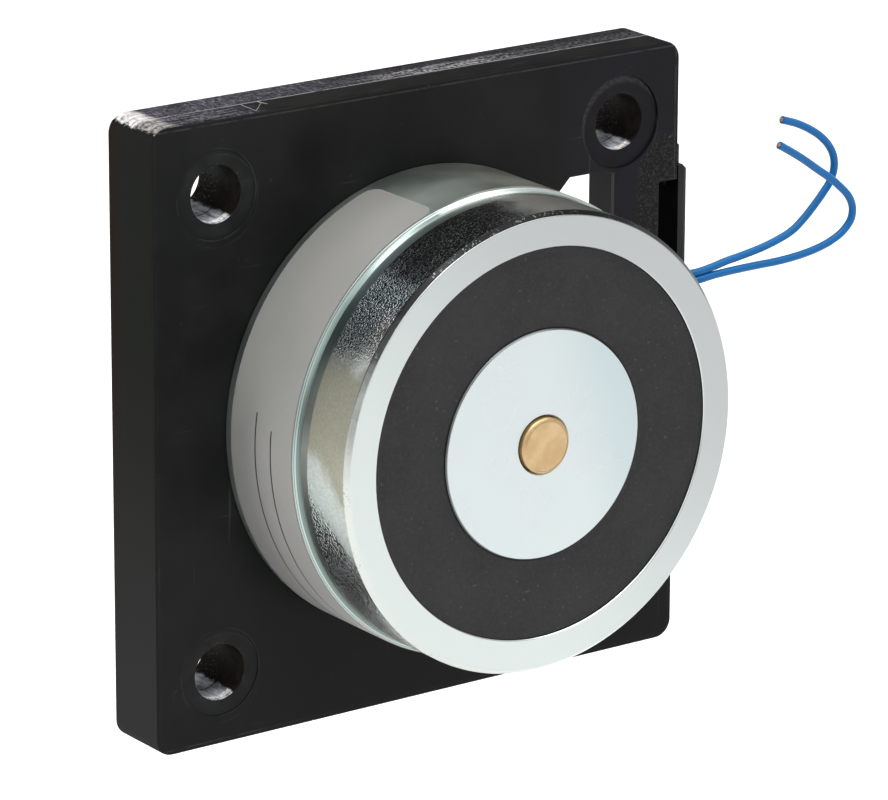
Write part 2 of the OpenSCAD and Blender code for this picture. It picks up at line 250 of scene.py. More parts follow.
def skin(node, width=0.25, segments=3, body="magnet", rule=None, shape=None, name=None):
    """A piece that stands for a CAD node, with the same surfaces and its sharp edges rounded.
    rule(middle, angle, convex) gives an edge's rounding in millimetres."""
    bm = plain_mesh(node)
    if shape:
        shape(bm)
    layer = bm.edges.layers.float.new("bevel_weight_edge")
    for e in bm.edges:
        if len(e.link_faces) != 2:
            continue
        angle = math.degrees(e.calc_face_angle(0.0))
        if angle < 28:
            continue
        convex = e.calc_face_angle_signed(0.0) > 0
        mid = (e.verts[0].co + e.verts[1].co) / 2
        w = rule(mid / MM, angle, convex) if rule else (width if convex else 0.0)
        e[layer] = max(0.0, min(1.0, w / width))
    me = bpy.data.meshes.new(name or node + "_skin")
    bm.to_mesh(me)
    bm.free()
    smooth(me, 28)
    ob = link(name or node + "_skin", me, body, (node,))
    bev = ob.modifiers.new("edges", "BEVEL")
    bev.limit_method = "WEIGHT"
    bev.width = width * MM
    bev.segments = segments
    bev.use_clamp_overlap = False
    bev.harden_normals = False
    bev.miter_outer = "MITER_SHARP"
    weighted(ob)
    return ob


def give(ob, *materials):
    """Put materials on a piece, keeping which face has which."""
    which = [f.material_index for f in ob.data.polygons]
    ob.data.materials.clear()
    for m in materials:
        ob.data.materials.append(m)
    if len(materials) > 1:
        ob.data.polygons.foreach_set("material_index", which)
    return ob


# ------------------------------------------------------------------ material helpers

class Nodes:
    """Short calls for building one material's nodes."""

    def __init__(self, name):
        self.mat = bpy.data.materials.new(name)
        self.mat.use_nodes = True
        self.tree = self.mat.node_tree
        self.bsdf = self.tree.nodes["Principled BSDF"]
        self.coords = self.tree.nodes.new("ShaderNodeTexCoord").outputs["Object"]
        self._xyz = None

    def make(self, kind, **props):
        n = self.tree.nodes.new("ShaderNode" + kind)
        for k, v in props.items():
            setattr(n, k, v)
        return n

    def put(self, socket, value):
        if isinstance(value, bpy.types.NodeSocket):
            self.tree.links.new(value, socket)
        else:
            socket.default_value = value

    def math(self, op, a, b=None, c=None, clamp=False):
        n = self.make("Math", operation=op, use_clamp=clamp)
        for s, v in zip(n.inputs, (a, b, c)):
            if v is not None:
                self.put(s, v)
        return n.outputs[0]

    def xyz(self):
        if self._xyz is None:
            n = self.make("SeparateXYZ")
            self.put(n.inputs[0], self.coords)
            self._xyz = n.outputs
        return self._xyz

    def ramp(self, value, a, b, lo=0.0, hi=1.0, kind="SMOOTHSTEP"):
        """Value mapped from a..b to lo..hi, held outside it."""
        n = self.make("MapRange", interpolation_type=kind, clamp=True)
        for s, v in zip(n.inputs[:5], (value, a, b, lo, hi)):
            self.put(s, v)
        return n.outputs[0]

    def band(self, value, a, b, soft):
        """1 between a and b, falling to 0 over soft on each side."""
        up = self.ramp(value, a - soft / 2, a + soft / 2)
        down = self.ramp(value, b - soft / 2, b + soft / 2, 1.0, 0.0)
        return self.math("MULTIPLY", up, down)

    def scaled(self, x=1.0, y=1.0, z=1.0, shift=(0, 0, 0)):
        n = self.make("Mapping")
        self.put(n.inputs["Vector"], self.coords)
        n.inputs["Scale"].default_value = (x, y, z)
        n.inputs["Location"].default_value = shift
        return n.outputs[0]

    def noise(self, size_mm, detail=2.0, rough=0.5, vector=None, distort=0.0, kind=None):
        n = self.make("TexNoise")
        if kind:
            n.noise_type = kind
        self.put(n.inputs["Vector"], vector if vector is not None else self.coords)
        n.inputs["Scale"].default_value = 1000.0 / size_mm
        n.inputs["Detail"].default_value = detail
        n.inputs["Roughness"].default_value = rough
        n.inputs["Distortion"].default_value = distort
        return n.outputs["Fac"]

    def cells(self, size_mm, vector=None, feature="F1", out="Distance"):
        n = self.make("TexVoronoi", feature=feature)
        self.put(n.inputs["Vector"], vector if vector is not None else self.coords)
        n.inputs["Scale"].default_value = 1000.0 / size_mm
        return n.outputs[out]

    def mix(self, fac, a, b):
        n = self.make("Mix", data_type="RGBA")
        self.put(n.inputs[0], fac)
        for s, v in ((n.inputs[6], a), (n.inputs[7], b)):
            self.put(s, v if isinstance(v, bpy.types.NodeSocket) else (*v, 1.0)[:4])
        return n.outputs[2]

    def blend(self, fac, a, b):
        n = self.make("Mix", data_type="FLOAT")
        for s, v in zip((n.inputs[0], n.inputs[2], n.inputs[3]), (fac, a, b)):
            self.put(s, v)
        return n.outputs[0]

    def stops(self, value, lo, hi, table):
        """Colour read from a table of (value, colour), mixed between its entries."""
        n = self.make("ValToRGB")
        ramp = n.color_ramp
        while len(ramp.elements) < len(table):
            ramp.elements.new(0.5)
        for k, (v, _) in enumerate(table):
            ramp.elements[k].position = (v - lo) / (hi - lo)
        for k, (_, c) in enumerate(table):
            ramp.elements[k].color = (*c, 1.0)
        self.put(n.inputs[0], self.ramp(value, math.radians(lo), math.radians(hi), kind="LINEAR"))
        return n.outputs[0]

    def bump(self, height, microns, normal=None):
        n = self.make("Bump")
        n.inputs["Distance"].default_value = microns * 1e-6
        n.inputs["Strength"].default_value = 1.0
        self.put(n.inputs["Height"], height)
        if normal is not None:
            self.put(n.inputs["Normal"], normal)
        return n.outputs[0]

    def radius(self):
        """Distance from the magnet's axis."""
        x, y, z = self.xyz()
        return self.math("SQRT", self.math("ADD", self.math("MULTIPLY", x, x), self.math("MULTIPLY", z, z)))

    def near(self, cx, cz):
        """Distance from a line along Y through (cx, cz), given in millimetres."""
        x, y, z = self.xyz()
        dx, dz = self.math("SUBTRACT", x, cx * MM), self.math("SUBTRACT", z, cz * MM)
        return self.math("SQRT", self.math("ADD", self.math("MULTIPLY", dx, dx), self.math("MULTIPLY", dz, dz)))

    def set(self, **values):
        for k, v in values.items():
            self.put(self.bsdf.inputs[k.replace("_", " ")], v)
        return self.mat


def grey(v, tint=(1.0, 1.0, 1.0)):
    return tuple(v * t for t in tint)


# ------------------------------------------------------------------ materials

def black_plastic():
    """Front and back of the moulded base plate: satin black, with a spark-eroded strip
    beside the slot, a few scratches and rub marks around the holes, painted highlights on
    the front edge, the window's edge and the seats, and painted shade below the pot."""
    n = Nodes("black_plastic")
    x, y, z = n.xyz()
    front = n.ramp(y, -9.5 * MM, -9.2 * MM, 1.0, 0.0)
    absz = n.math("ABSOLUTE", z)
    clouds = n.noise(16, 3, 0.55)
    mid = n.noise(2.2, 3, 0.6)
    fine = n.noise(0.35, 3, 0.6)

    # spark-eroded strip beside the slot, with straight borders, and a smooth strip before it
    ragged = n.math("MULTIPLY", n.math("SUBTRACT", mid, 0.5), 1.6 * MM)
    eroded = n.math("MULTIPLY", n.band(n.math("ADD", x, ragged), 35.6 * MM, 44.5 * MM, 0.7 * MM),
                    n.ramp(n.math("ADD", absz, ragged), 29.6 * MM, 30.3 * MM, 1.0, 0.0))
    for cz in (-32.5, 32.5):
        eroded = n.math("MULTIPLY", eroded, n.ramp(n.near(32.5, cz), 6.5 * MM, 7.0 * MM))
    eroded = n.math("MULTIPLY", eroded, front)
    strip = n.math("MULTIPLY", n.band(x, 31.4 * MM, 36.0 * MM, 0.2 * MM), n.ramp(absz, 25.8 * MM, 26.3 * MM, 1.0, 0.0))
    side = n.math("MULTIPLY", n.ramp(x, 16 * MM, 30 * MM), n.ramp(z, 20 * MM, 28 * MM))
    violet = n.math("MULTIPLY", n.math("MAXIMUM", n.math("MULTIPLY", side, 0.8), strip), front)

    # marks around the corner holes: nicks at the rim, and two thin, broken light rings that are painted highlights on
    # the seats' edges
    rings = None
    for cx, cz in ((-32.5, 32.5), (-32.5, -32.5), (32.5, 32.5), (32.5, -32.5)):
        d = n.near(cx, cz)
        thin = n.math("MAXIMUM", n.band(d, 6.02 * MM, 6.14 * MM, 0.16 * MM), n.math("MULTIPLY", n.band(n.near(cx + 0.2, cz - 0.9), 6.1 * MM, 6.2 * MM, 0.2 * MM), 0.8))
        thin = n.math("MULTIPLY", thin, n.ramp(n.noise(5, 3, 0.6), 0.44, 0.60, 0.05, 1.0))
        nick = n.math("MULTIPLY", n.math("MULTIPLY", n.band(d, 3.7 * MM, 4.3 * MM, 0.7 * MM), n.ramp(n.noise(0.30, 2, 0.6), 0.52, 0.64)), n.ramp(n.noise(3, 2), 0.46, 0.60, 0.1, 1.0))
        haze = n.math("MULTIPLY", n.band(d, 3.9 * MM, 5.6 * MM, 1.6 * MM), n.ramp(n.noise(3, 2), 0.35, 0.7, 0.05, 0.3))
        one = n.math("ADD", n.math("ADD", n.math("MULTIPLY", thin, 0.8), n.math("MULTIPLY", nick, 1.1)), haze)
        rings = one if rings is None else n.math("ADD", rings, one)
    rings = n.math("MULTIPLY", rings, front)

    # scratches: thin streaks in two directions, mostly in the lower part
    streak_a = n.noise(1.0, 2, 0.5, n.scaled(0.06, 1.0, 1.6), 0.3)
    streak_b = n.noise(1.0, 2, 0.5, n.scaled(1.3, 1.0, 0.05, (3, 1, 2)), 0.3)
    scratch = n.math("MAXIMUM", n.ramp(streak_a, 0.66, 0.74), n.ramp(streak_b, 0.68, 0.75))
    scratch = n.math("MULTIPLY", scratch, n.ramp(n.math("SUBTRACT", clouds, n.math("MULTIPLY", z, 2.5)), 0.42, 0.68))
    speckle = n.math("MULTIPLY", n.ramp(n.noise(0.6, 2, 0.6, None, 0.5), 0.66, 0.74), n.ramp(n.noise(6, 3, 0.6), 0.5, 0.64))

    # painted highlight: a fine light line along the front edge
    ax, az = n.math("ABSOLUTE", x), absz
    rim = n.math("MAXIMUM", ax, az)
    rim = n.math("MULTIPLY", n.band(rim, 41.75 * MM, 41.95 * MM, 0.14 * MM), n.ramp(mid, 0.30, 0.55))
    rim = n.math("MULTIPLY", n.math("MULTIPLY", rim, front), n.ramp(x, -41.6 * MM, -41.0 * MM, 0.15, 1.0))

    base = n.mix(n.ramp(clouds, 0.35, 0.7), (0.0042, 0.0044, 0.0044), (0.0086, 0.0088, 0.0088))
    base = n.mix(violet, base, n.mix(clouds, (0.0042, 0.0040, 0.0062), (0.0082, 0.0076, 0.0110)))
    speck = n.ramp(n.noise(0.26, 3, 0.7), 0.46, 0.66)
    grains = n.ramp(n.noise(0.9, 1, 0.5), 0.70, 0.76)
    rock = n.mix(grains, n.mix(speck, (0.0060, 0.0060, 0.0061), (0.024, 0.0235, 0.022)), (0.048, 0.046, 0.044))
    # painted highlight: a light line down the window's right edge
    window_edge_highlight = n.math("MULTIPLY", n.band(x, 31.36 * MM, 31.62 * MM, 0.1 * MM), n.ramp(absz, 25.4 * MM, 25.9 * MM, 1.0, 0.0))
    window_edge_highlight = n.math("MULTIPLY", window_edge_highlight, n.ramp(y, -9.75 * MM, -9.55 * MM, 1.0, 0.0))
    base = n.mix(eroded, base, rock)
    base = n.mix(n.math("MULTIPLY", rings, 0.6), base, (0.040, 0.042, 0.043))
    base = n.mix(n.math("MULTIPLY", scratch, 0.6), base, (0.040, 0.040, 0.040))
    base = n.mix(n.math("MULTIPLY", speckle, 0.5), base, (0.030, 0.031, 0.032))
    base = n.mix(n.math("MULTIPLY", rim, 0.6), base, (0.040, 0.040, 0.040))
    base = n.mix(n.math("MULTIPLY", window_edge_highlight, 0.9), base, (0.055, 0.052, 0.050))
    # upper right seat: its floor is darker, and a light crescent along its upper side is a painted highlight
    d = n.near(32.5, 32.5)
    seat = n.math("MULTIPLY", n.ramp(d, 6.4 * MM, 6.2 * MM), front)
    base = n.mix(n.math("MULTIPLY", seat, 0.7), base, (0.0030, 0.0028, 0.0045))
    seat_crescent_highlight = n.math("MULTIPLY", n.ramp(n.near(32.9, 31.7), 5.9 * MM, 6.5 * MM), n.math("MULTIPLY", seat, n.ramp(n.noise(0.6, 3, 0.6), 0.35, 0.6, 0.3, 1.0)))
    base = n.mix(n.math("MULTIPLY", seat_crescent_highlight, 0.55), base, (0.046, 0.047, 0.048))

    # painted shade: darker below the pot
    low = n.math("MULTIPLY", n.ramp(z, -8 * MM, -26 * MM), n.math("MULTIPLY", front, n.ramp(x, -30 * MM, -16 * MM, 0.35, 0.75)))
    base = n.mix(low, base, (0.0008, 0.0008, 0.0008))
    rough = n.blend(n.ramp(clouds, 0.3, 0.7), 0.36, 0.48)
    rough = n.blend(eroded, rough, 0.65)
    grain = n.math("ADD", n.math("MULTIPLY", fine, 0.35), n.math("MULTIPLY", n.noise(0.30, 2, 0.7), n.math("MULTIPLY", eroded, 1.6)))
    grain = n.math("ADD", grain, n.math("MULTIPLY", scratch, -0.5))
    grain = n.math("ADD", grain, n.math("MULTIPLY", mid, 0.8))
    n.set(Base_Color=base, Roughness=rough, Normal=n.bump(grain, 14))
    n.bsdf.inputs["Specular IOR Level"].default_value = 0.09
    return n.mat


def plate_sides():
    """The plate's narrow sides: dull black; the top side is scraped, most of all behind its
    parting line and at the left corner, with a painted purplish sheen in the streaks in front of
    the parting line at the left."""
    n = Nodes("plate_sides")
    x, y, z = n.xyz()
    top = n.ramp(z, 41.7 * MM, 42.3 * MM)
    left = n.ramp(x, -42.3 * MM, -41.7 * MM, 1.0, 0.0)
    clouds, mid, fine = n.noise(11, 3, 0.55), n.noise(2.0, 3, 0.6), n.noise(0.3, 3, 0.65)

    along = n.noise(0.8, 3, 0.65, n.scaled(0.16, 1.6, 1.0))           # scratches along the side
    across = n.noise(0.8, 3, 0.65, n.scaled(2.2, 0.55, 1.0, (1, 2, 3)), 0.6)   # chatter across it
    broken = n.noise(0.5, 3, 0.7, n.scaled(1.0, 0.7, 1.0))

    behind = n.ramp(y, -5.5 * MM, -5.2 * MM)
    leftish = n.ramp(x, -26 * MM, 4 * MM, 1.0, 0.0)
    rightish = n.math("MULTIPLY", n.ramp(x, -12 * MM, 6 * MM), n.ramp(x, 8 * MM, 26 * MM, 1.0, 0.18))
    line = n.math("MULTIPLY", n.band(y, -5.62 * MM, -5.38 * MM, 0.16 * MM), n.ramp(mid, 0.25, 0.5))

    purple = n.math("MULTIPLY", n.math("MULTIPLY", behind, n.blend(leftish, 0.25, 1.0)), n.ramp(along, 0.25, 0.6))
    stroke = n.math("MULTIPLY", n.math("MULTIPLY", behind, n.blend(leftish, 0.25, 1.0)), n.ramp(across, 0.56, 0.68))
    pale = n.math("MULTIPLY", n.math("MULTIPLY", n.band(y, -5.4 * MM, -2.6 * MM, 1.4 * MM), rightish), n.ramp(n.math("ADD", n.math("MULTIPLY", broken, 0.6), n.math("MULTIPLY", along, 0.4)), 0.44, 0.62))
    # in front of the parting line at the left: scraped streaks, partly with a painted purplish sheen
    fore = n.math("MULTIPLY", n.ramp(y, -5.7 * MM, -5.5 * MM, 1.0, 0.0), n.ramp(x, -31 * MM, -23 * MM, 1.0, 0.0))
    fore = n.math("MULTIPLY", fore, n.ramp(along, 0.38, 0.58))
    fine_marks = n.math("MULTIPLY", n.ramp(along, 0.60, 0.70), 0.5)

    # two crossing scratches with a nick at their end, in front of the parting line
    def stroke_to(x0, y0, x1, y1, half):
        dx, dy = (x1 - x0), (y1 - y0)
        ln = math.hypot(dx, dy)
        u = n.math("ADD", n.math("MULTIPLY", n.math("SUBTRACT", x, x0 * MM), dx / ln), n.math("MULTIPLY", n.math("SUBTRACT", y, y0 * MM), dy / ln))
        v = n.math("ADD", n.math("MULTIPLY", n.math("SUBTRACT", x, x0 * MM), -dy / ln), n.math("MULTIPLY", n.math("SUBTRACT", y, y0 * MM), dx / ln))
        return n.math("MULTIPLY", n.band(u, 0.0, ln * MM, 0.1 * MM), n.band(v, -half * MM, half * MM, 0.08 * MM))
    cut = n.math("MAXIMUM", stroke_to(-25.7, -5.4, -25.9, -9.4, 0.07), stroke_to(-25.9, -9.4, -23.0, -6.2, 0.04))
    cut = n.math("MAXIMUM", cut, stroke_to(-23.1, -5.5, -22.7, -7.2, 0.14))

    # worn corner: bright plastic behind, greyer and scratched in front
    edge = n.math("ADD", n.math("MULTIPLY", mid, 3.4 * MM), n.math("MULTIPLY", broken, 3.4 * MM))
    reach = n.math("ADD", n.math("ADD", x, edge), n.math("MULTIPLY", y, 0.12))      # irregular border
    low = n.math("ADD", z, n.math("MULTIPLY", n.math("SUBTRACT", broken, 0.5), 1.2 * MM))
    worn = n.math("MULTIPLY", n.ramp(reach, -36.9 * MM, -35.3 * MM, 1.0, 0.0), n.ramp(low, 41.6 * MM, 42.0 * MM))
    whiter = n.ramp(n.math("ADD", y, n.math("MULTIPLY", n.math("SUBTRACT", mid, 0.5), 3.0 * MM)), -6.0 * MM, -4.4 * MM)
    scored = n.ramp(n.math("ADD", n.math("MULTIPLY", along, 0.5), n.math("MULTIPLY", broken, 0.5)), 0.38, 0.62)
    worn_colour = n.mix(whiter, n.mix(scored, (0.035, 0.034, 0.034), (0.30, 0.29, 0.275)), n.mix(scored, (0.20, 0.195, 0.19), (0.62, 0.605, 0.59)))

    brown = n.ramp(y, -4.0 * MM, -0.5 * MM)
    base = n.mix(n.ramp(clouds, 0.3, 0.7), (0.0058, 0.0060, 0.0058), (0.0105, 0.0105, 0.0100))
    flank = n.mix(brown, n.mix(clouds, (0.0100, 0.0118, 0.0085), (0.0135, 0.0135, 0.0130)), (0.0150, 0.0108, 0.0092))
    flank = n.mix(n.ramp(z, 20 * MM, -40 * MM), flank, (0.024, 0.024, 0.024))
    base = n.mix(left, base, flank)
    base = n.mix(n.math("MULTIPLY", n.math("MULTIPLY", purple, top), 0.85), base, n.mix(n.ramp(broken, 0.38, 0.62), (0.016, 0.015, 0.020), (0.085, 0.080, 0.098)))
    base = n.mix(n.math("MULTIPLY", n.math("MULTIPLY", stroke, top), 0.6), base, (0.22, 0.215, 0.24))
    base = n.mix(n.math("MULTIPLY", n.math("MULTIPLY", pale, top), 0.85), base, (0.30, 0.29, 0.30))
    base = n.mix(n.math("MULTIPLY", n.math("MULTIPLY", fore, top), 0.8), base, n.mix(n.ramp(broken, 0.4, 0.6), (0.035, 0.033, 0.042), (0.14, 0.135, 0.155)))
    base = n.mix(n.math("MULTIPLY", n.math("MULTIPLY", fine_marks, top), 0.5), base, (0.05, 0.05, 0.052))
    base = n.mix(n.math("MULTIPLY", n.math("MULTIPLY", line, top), 0.75), base, (0.24, 0.235, 0.25))
    base = n.mix(n.math("MULTIPLY", n.math("MULTIPLY", cut, n.ramp(broken, 0.25, 0.45)), n.math("MULTIPLY", top, 0.7)), base, (0.27, 0.265, 0.26))
    base = n.mix(worn, base, worn_colour)

    height = n.math("ADD", n.math("MULTIPLY", fine, 0.4), n.math("MULTIPLY", mid, 0.5))
    height = n.math("ADD", height, n.math("MULTIPLY", n.math("MULTIPLY", n.math("ADD", along, across), top), 1.6))
    n.set(Base_Color=base, Roughness=n.blend(clouds, 0.62, 0.75), Normal=n.bump(height, 16))
    n.bsdf.inputs["Specular IOR Level"].default_value = 0.012
    return n.mat


def hole_walls():
    """Moulded walls of the corner holes: painted light along the bottom, with painted highlights
    near the front, brown-black above, with a dark parting line half way in."""
    n = Nodes("hole_walls")
    x, y, z = n.xyz()
    wave, fine = n.noise(1.3, 3, 0.6), n.noise(0.28, 3, 0.65)
    # position across each hole, measured from its own centre
    lx, lz = (n.math("MULTIPLY", n.math("SUBTRACT", n.math("ABSOLUTE", q), 32.5 * MM), n.math("SIGN", q)) for q in (x, z))
    edge = n.math("MULTIPLY", n.math("SUBTRACT", wave, 0.5), 1.4 * MM)
    level = n.math("ADD", n.math("ADD", lz, n.math("MULTIPLY", lx, 0.53)), edge)
    low = n.ramp(level, -2.3 * MM, -1.7 * MM, 1.0, 0.0)
    seam = n.band(y, -5.62 * MM, -5.38 * MM, 0.1 * MM)
    streak = n.noise(0.9, 3, 0.6, n.scaled(1.4, 0.35, 1.4))
    base = n.mix(n.ramp(wave, 0.35, 0.7), (0.0028, 0.0026, 0.0024), (0.0120, 0.0082, 0.0058))
    dust = n.math("MULTIPLY", n.ramp(fine, 0.60, 0.68), n.ramp(y, -5.6 * MM, -4.6 * MM))
    base = n.mix(n.math("MULTIPLY", dust, 0.6), base, (0.20, 0.20, 0.19))
    # painted light: the lower part of each wall is made pale, in streaks
    pale = n.mix(n.ramp(streak, 0.34, 0.66), (0.14, 0.146, 0.165), (0.47, 0.49, 0.53))
    base = n.mix(low, base, pale)
    # painted highlight: broken bright lines low on the wall near the front
    glint = n.math("MULTIPLY", n.math("MULTIPLY", low, n.band(y, -9.3 * MM, -8.5 * MM, 0.25 * MM)), n.ramp(fine, 0.42, 0.55))
    base = n.mix(n.math("MULTIPLY", glint, 0.85), base, (0.92, 0.87, 0.82))
    base = n.mix(n.math("MULTIPLY", seam, 0.9), base, (0.002, 0.002, 0.002))
    height = n.math("ADD", n.math("MULTIPLY", wave, 0.6), n.math("MULTIPLY", fine, 0.2))
    n.set(Base_Color=base, Roughness=n.blend(wave, 0.45, 0.6), Normal=n.bump(height, 50))
    n.bsdf.inputs["Specular IOR Level"].default_value = 0.03
    return n.mat


def cover_plastic():
    n = Nodes("cover_plastic")
    clouds, fine = n.noise(9, 3), n.noise(0.3, 3, 0.65)
    scuff = n.ramp(n.noise(1.0, 2, 0.5, n.scaled(1.0, 1.0, 0.08)), 0.62, 0.75)
    base = n.mix(n.ramp(clouds, 0.3, 0.7), (0.0140, 0.0140, 0.0145), (0.0210, 0.0210, 0.0215))
    base = n.mix(n.math("MULTIPLY", scuff, 0.4), base, (0.036, 0.036, 0.038))
    x, y, z = n.xyz()
    # painted shade: near black inward of the cover's side, close to the plate
    within = n.math("MULTIPLY", n.ramp(x, 41.9 * MM, 42.3 * MM, 1.0, 0.0), n.ramp(y, -13.0 * MM, -11.5 * MM))
    base = n.mix(within, base, (0.0012, 0.0012, 0.0012))
    ridge = n.math("MAXIMUM", n.band(x, 42.45 * MM, 42.65 * MM, 0.1 * MM), n.band(x, 43.5 * MM, 43.75 * MM, 0.1 * MM))
    base = n.mix(n.math("MULTIPLY", ridge, 0.7), base, (0.040, 0.040, 0.042))
    n.set(Base_Color=base, Roughness=n.blend(clouds, 0.38, 0.5), Normal=n.bump(n.math("ADD", fine, n.noise(1.6, 2)), 8))
    n.bsdf.inputs["Specular IOR Level"].default_value = 0.09
    return n.mat


def zinc_steel():
    """Turned steel, zinc plated: satin rear body, a smooth groove behind the shoulder, a
    sparkling blasted front body with a smooth, olive tinted patch, and a bright turned face.
    Its tones that change with the angle round the axis are painted reflections and highlights,
    and the front body's light specks are painted glints."""
    n = Nodes("zinc_steel")
    x, y, z = n.xyz()
    r = n.radius()
    angle = n.math("ARCTAN2", z, n.math("MULTIPLY", x, -1.0))   # 0 at the left, rising upwards
    deg = math.radians(1.0)
    mid = n.noise(2.6, 3, 0.6)
    wobble = n.math("MULTIPLY", n.math("SUBTRACT", mid, 0.5), 12 * deg)
    slant = n.math("MULTIPLY", n.math("MULTIPLY", n.math("ADD", y, 32 * MM), -35.0), n.ramp(angle, 12 * deg, -2 * deg))
    turn = n.math("ADD", n.math("ADD", angle, wobble), slant)
    clouds = n.noise(8, 3, 0.55)
    far = n.ramp(n.math("ABSOLUTE", angle), 126 * deg, 162 * deg)   # the right side, one tone all over

    face = n.ramp(y, -36.9 * MM, -36.98 * MM)
    outer = n.ramp(r, 30.2 * MM, 30.4 * MM)
    body = n.math("MULTIPLY", n.ramp(y, -28.0 * MM, -28.3 * MM), n.ramp(y, -36.45 * MM, -36.3 * MM))
    body = n.math("MULTIPLY", body, outer)
    rim = n.math("MULTIPLY", n.math("MULTIPLY", n.ramp(y, -36.12 * MM, -36.22 * MM), n.math("SUBTRACT", 1.0, face)), outer)
    rear = n.math("MULTIPLY", n.ramp(y, -25.66 * MM, -25.6 * MM), outer)
    shoulder = n.math("MULTIPLY", n.band(y, -26.42 * MM, -25.66 * MM, 0.08 * MM), outer)
    groove = n.math("MULTIPLY", n.band(y, -28.12 * MM, -26.42 * MM, 0.08 * MM), outer)
    calm = n.math("MAXIMUM", n.band(turn, -12 * deg, 29 * deg, 8 * deg), n.math("MULTIPLY", n.ramp(turn, 80 * deg, 90 * deg), n.math("SUBTRACT", 1.0, far)))
    blasted = n.math("MULTIPLY", body, n.math("SUBTRACT", 1.0, calm))

    base = n.mix(n.ramp(clouds, 0.3, 0.7), (0.47, 0.505, 0.495), (0.53, 0.565, 0.555))
    # rear body: tones by angle are painted reflections, greener beside the label, warmer and darker on top
    tone = n.stops(angle, -90, 130, ((-90, (0.45, 0.50, 0.48)), (70, (0.30, 0.35, 0.335)), (84, (0.20, 0.235, 0.225)),
                                     (98, (0.26, 0.265, 0.235)), (110, (0.21, 0.225, 0.20)), (130, (0.3, 0.31, 0.29))))
    tone = n.mix(far, tone, (0.33, 0.36, 0.345))
    base = n.mix(rear, base, n.mix(n.ramp(clouds, 0.3, 0.7, 0.0, 0.3), tone, (0.42, 0.43, 0.38)))
    # shoulder: dull and greenish beside the label, with a painted highlight further up
    tone = n.stops(turn, -90, 130, ((-90, (0.16, 0.19, 0.18)), (30, (0.16, 0.22, 0.205)), (50, (0.105, 0.135, 0.128)),
                                    (72, (0.095, 0.115, 0.108)), (83, (0.62, 0.64, 0.61)), (94, (0.62, 0.65, 0.62)), (104, (0.42, 0.46, 0.44))))
    base = n.mix(shoulder, base, n.mix(far, tone, (0.34, 0.38, 0.365)))
    # painted shade in a dark band along the shoulder's lower edge, and a painted highlight line across the shoulder
    low_part = n.math("MULTIPLY", n.band(y, -26.42 * MM, -26.12 * MM, 0.08 * MM), outer)
    base = n.mix(n.math("MULTIPLY", low_part, 0.85), base, (0.12, 0.15, 0.142))
    line = n.math("MULTIPLY", n.band(y, -25.86 * MM, -25.74 * MM, 0.08 * MM), outer)
    base = n.mix(n.math("MULTIPLY", line, 0.8), base, (0.44, 0.52, 0.49))
    # the rear body's front edge catches the light on top
    edge = n.math("SUBTRACT", y, n.math("MULTIPLY", n.math("SUBTRACT", angle, 84 * deg), 1.43 * MM))
    crest = n.math("MULTIPLY", n.ramp(edge, -24.85 * MM, -25.1 * MM), n.math("MULTIPLY", n.ramp(turn, 79 * deg, 86 * deg), n.math("SUBTRACT", 1.0, far)))
    base = n.mix(n.math("MULTIPLY", crest, rear), base, (0.64, 0.68, 0.64))
    # groove: darker, its tones by angle painted reflections
    tone = n.stops(turn, -90, 130, ((-90, (0.10, 0.11, 0.105)), (-36, (0.11, 0.12, 0.115)), (-20, (0.17, 0.185, 0.175)),
                                    (0, (0.27, 0.285, 0.265)), (14, (0.20, 0.215, 0.20)), (24, (0.27, 0.33, 0.315)),
                                    (38, (0.25, 0.33, 0.33)), (58, (0.25, 0.31, 0.31)), (70, (0.14, 0.165, 0.155)),
                                    (86, (0.13, 0.14, 0.13)), (96, (0.40, 0.41, 0.35)), (110, (0.30, 0.32, 0.29))))
    tone = n.mix(far, tone, (0.24, 0.26, 0.25))
    base = n.mix(groove, base, n.mix(n.ramp(clouds, 0.3, 0.7, 0.0, 0.25), tone, (0.10, 0.11, 0.11)))
    base = n.mix(n.math("MULTIPLY", n.band(y, -28.26 * MM, -28.05 * MM, 0.1 * MM), outer), base, (0.05, 0.055, 0.05))

    # front body, by angle, all painted reflections: black speckle, pale patch, olive patch, bluish speckle, black, grey
    tone = n.stops(turn, -90, 130, ((-90, (0.52, 0.54, 0.53)), (-36, (0.60, 0.62, 0.61)), (-17, (0.55, 0.60, 0.58)),
                                    (-12, (0.58, 0.65, 0.62)), (-1, (0.56, 0.61, 0.57)), (4, (0.37, 0.365, 0.285)),
                                    (27, (0.43, 0.432, 0.345)), (31, (0.68, 0.75, 0.75)), (46, (0.56, 0.67, 0.72)),
                                    (53, (0.20, 0.23, 0.24)), (60, (0.095, 0.10, 0.10)), (76, (0.09, 0.092, 0.09)),
                                    (85, (0.40, 0.405, 0.39)), (94, (0.38, 0.375, 0.34)), (102, (0.32, 0.315, 0.29)), (112, (0.16, 0.162, 0.155))))
    tone = n.mix(far, tone, (0.46, 0.48, 0.47))
    cast = n.noise(0.35, 3, 0.7)
    tone = n.mix(n.ramp(cast, 0.35, 0.65, 0.22, 0.0), tone, (0.12, 0.12, 0.11))
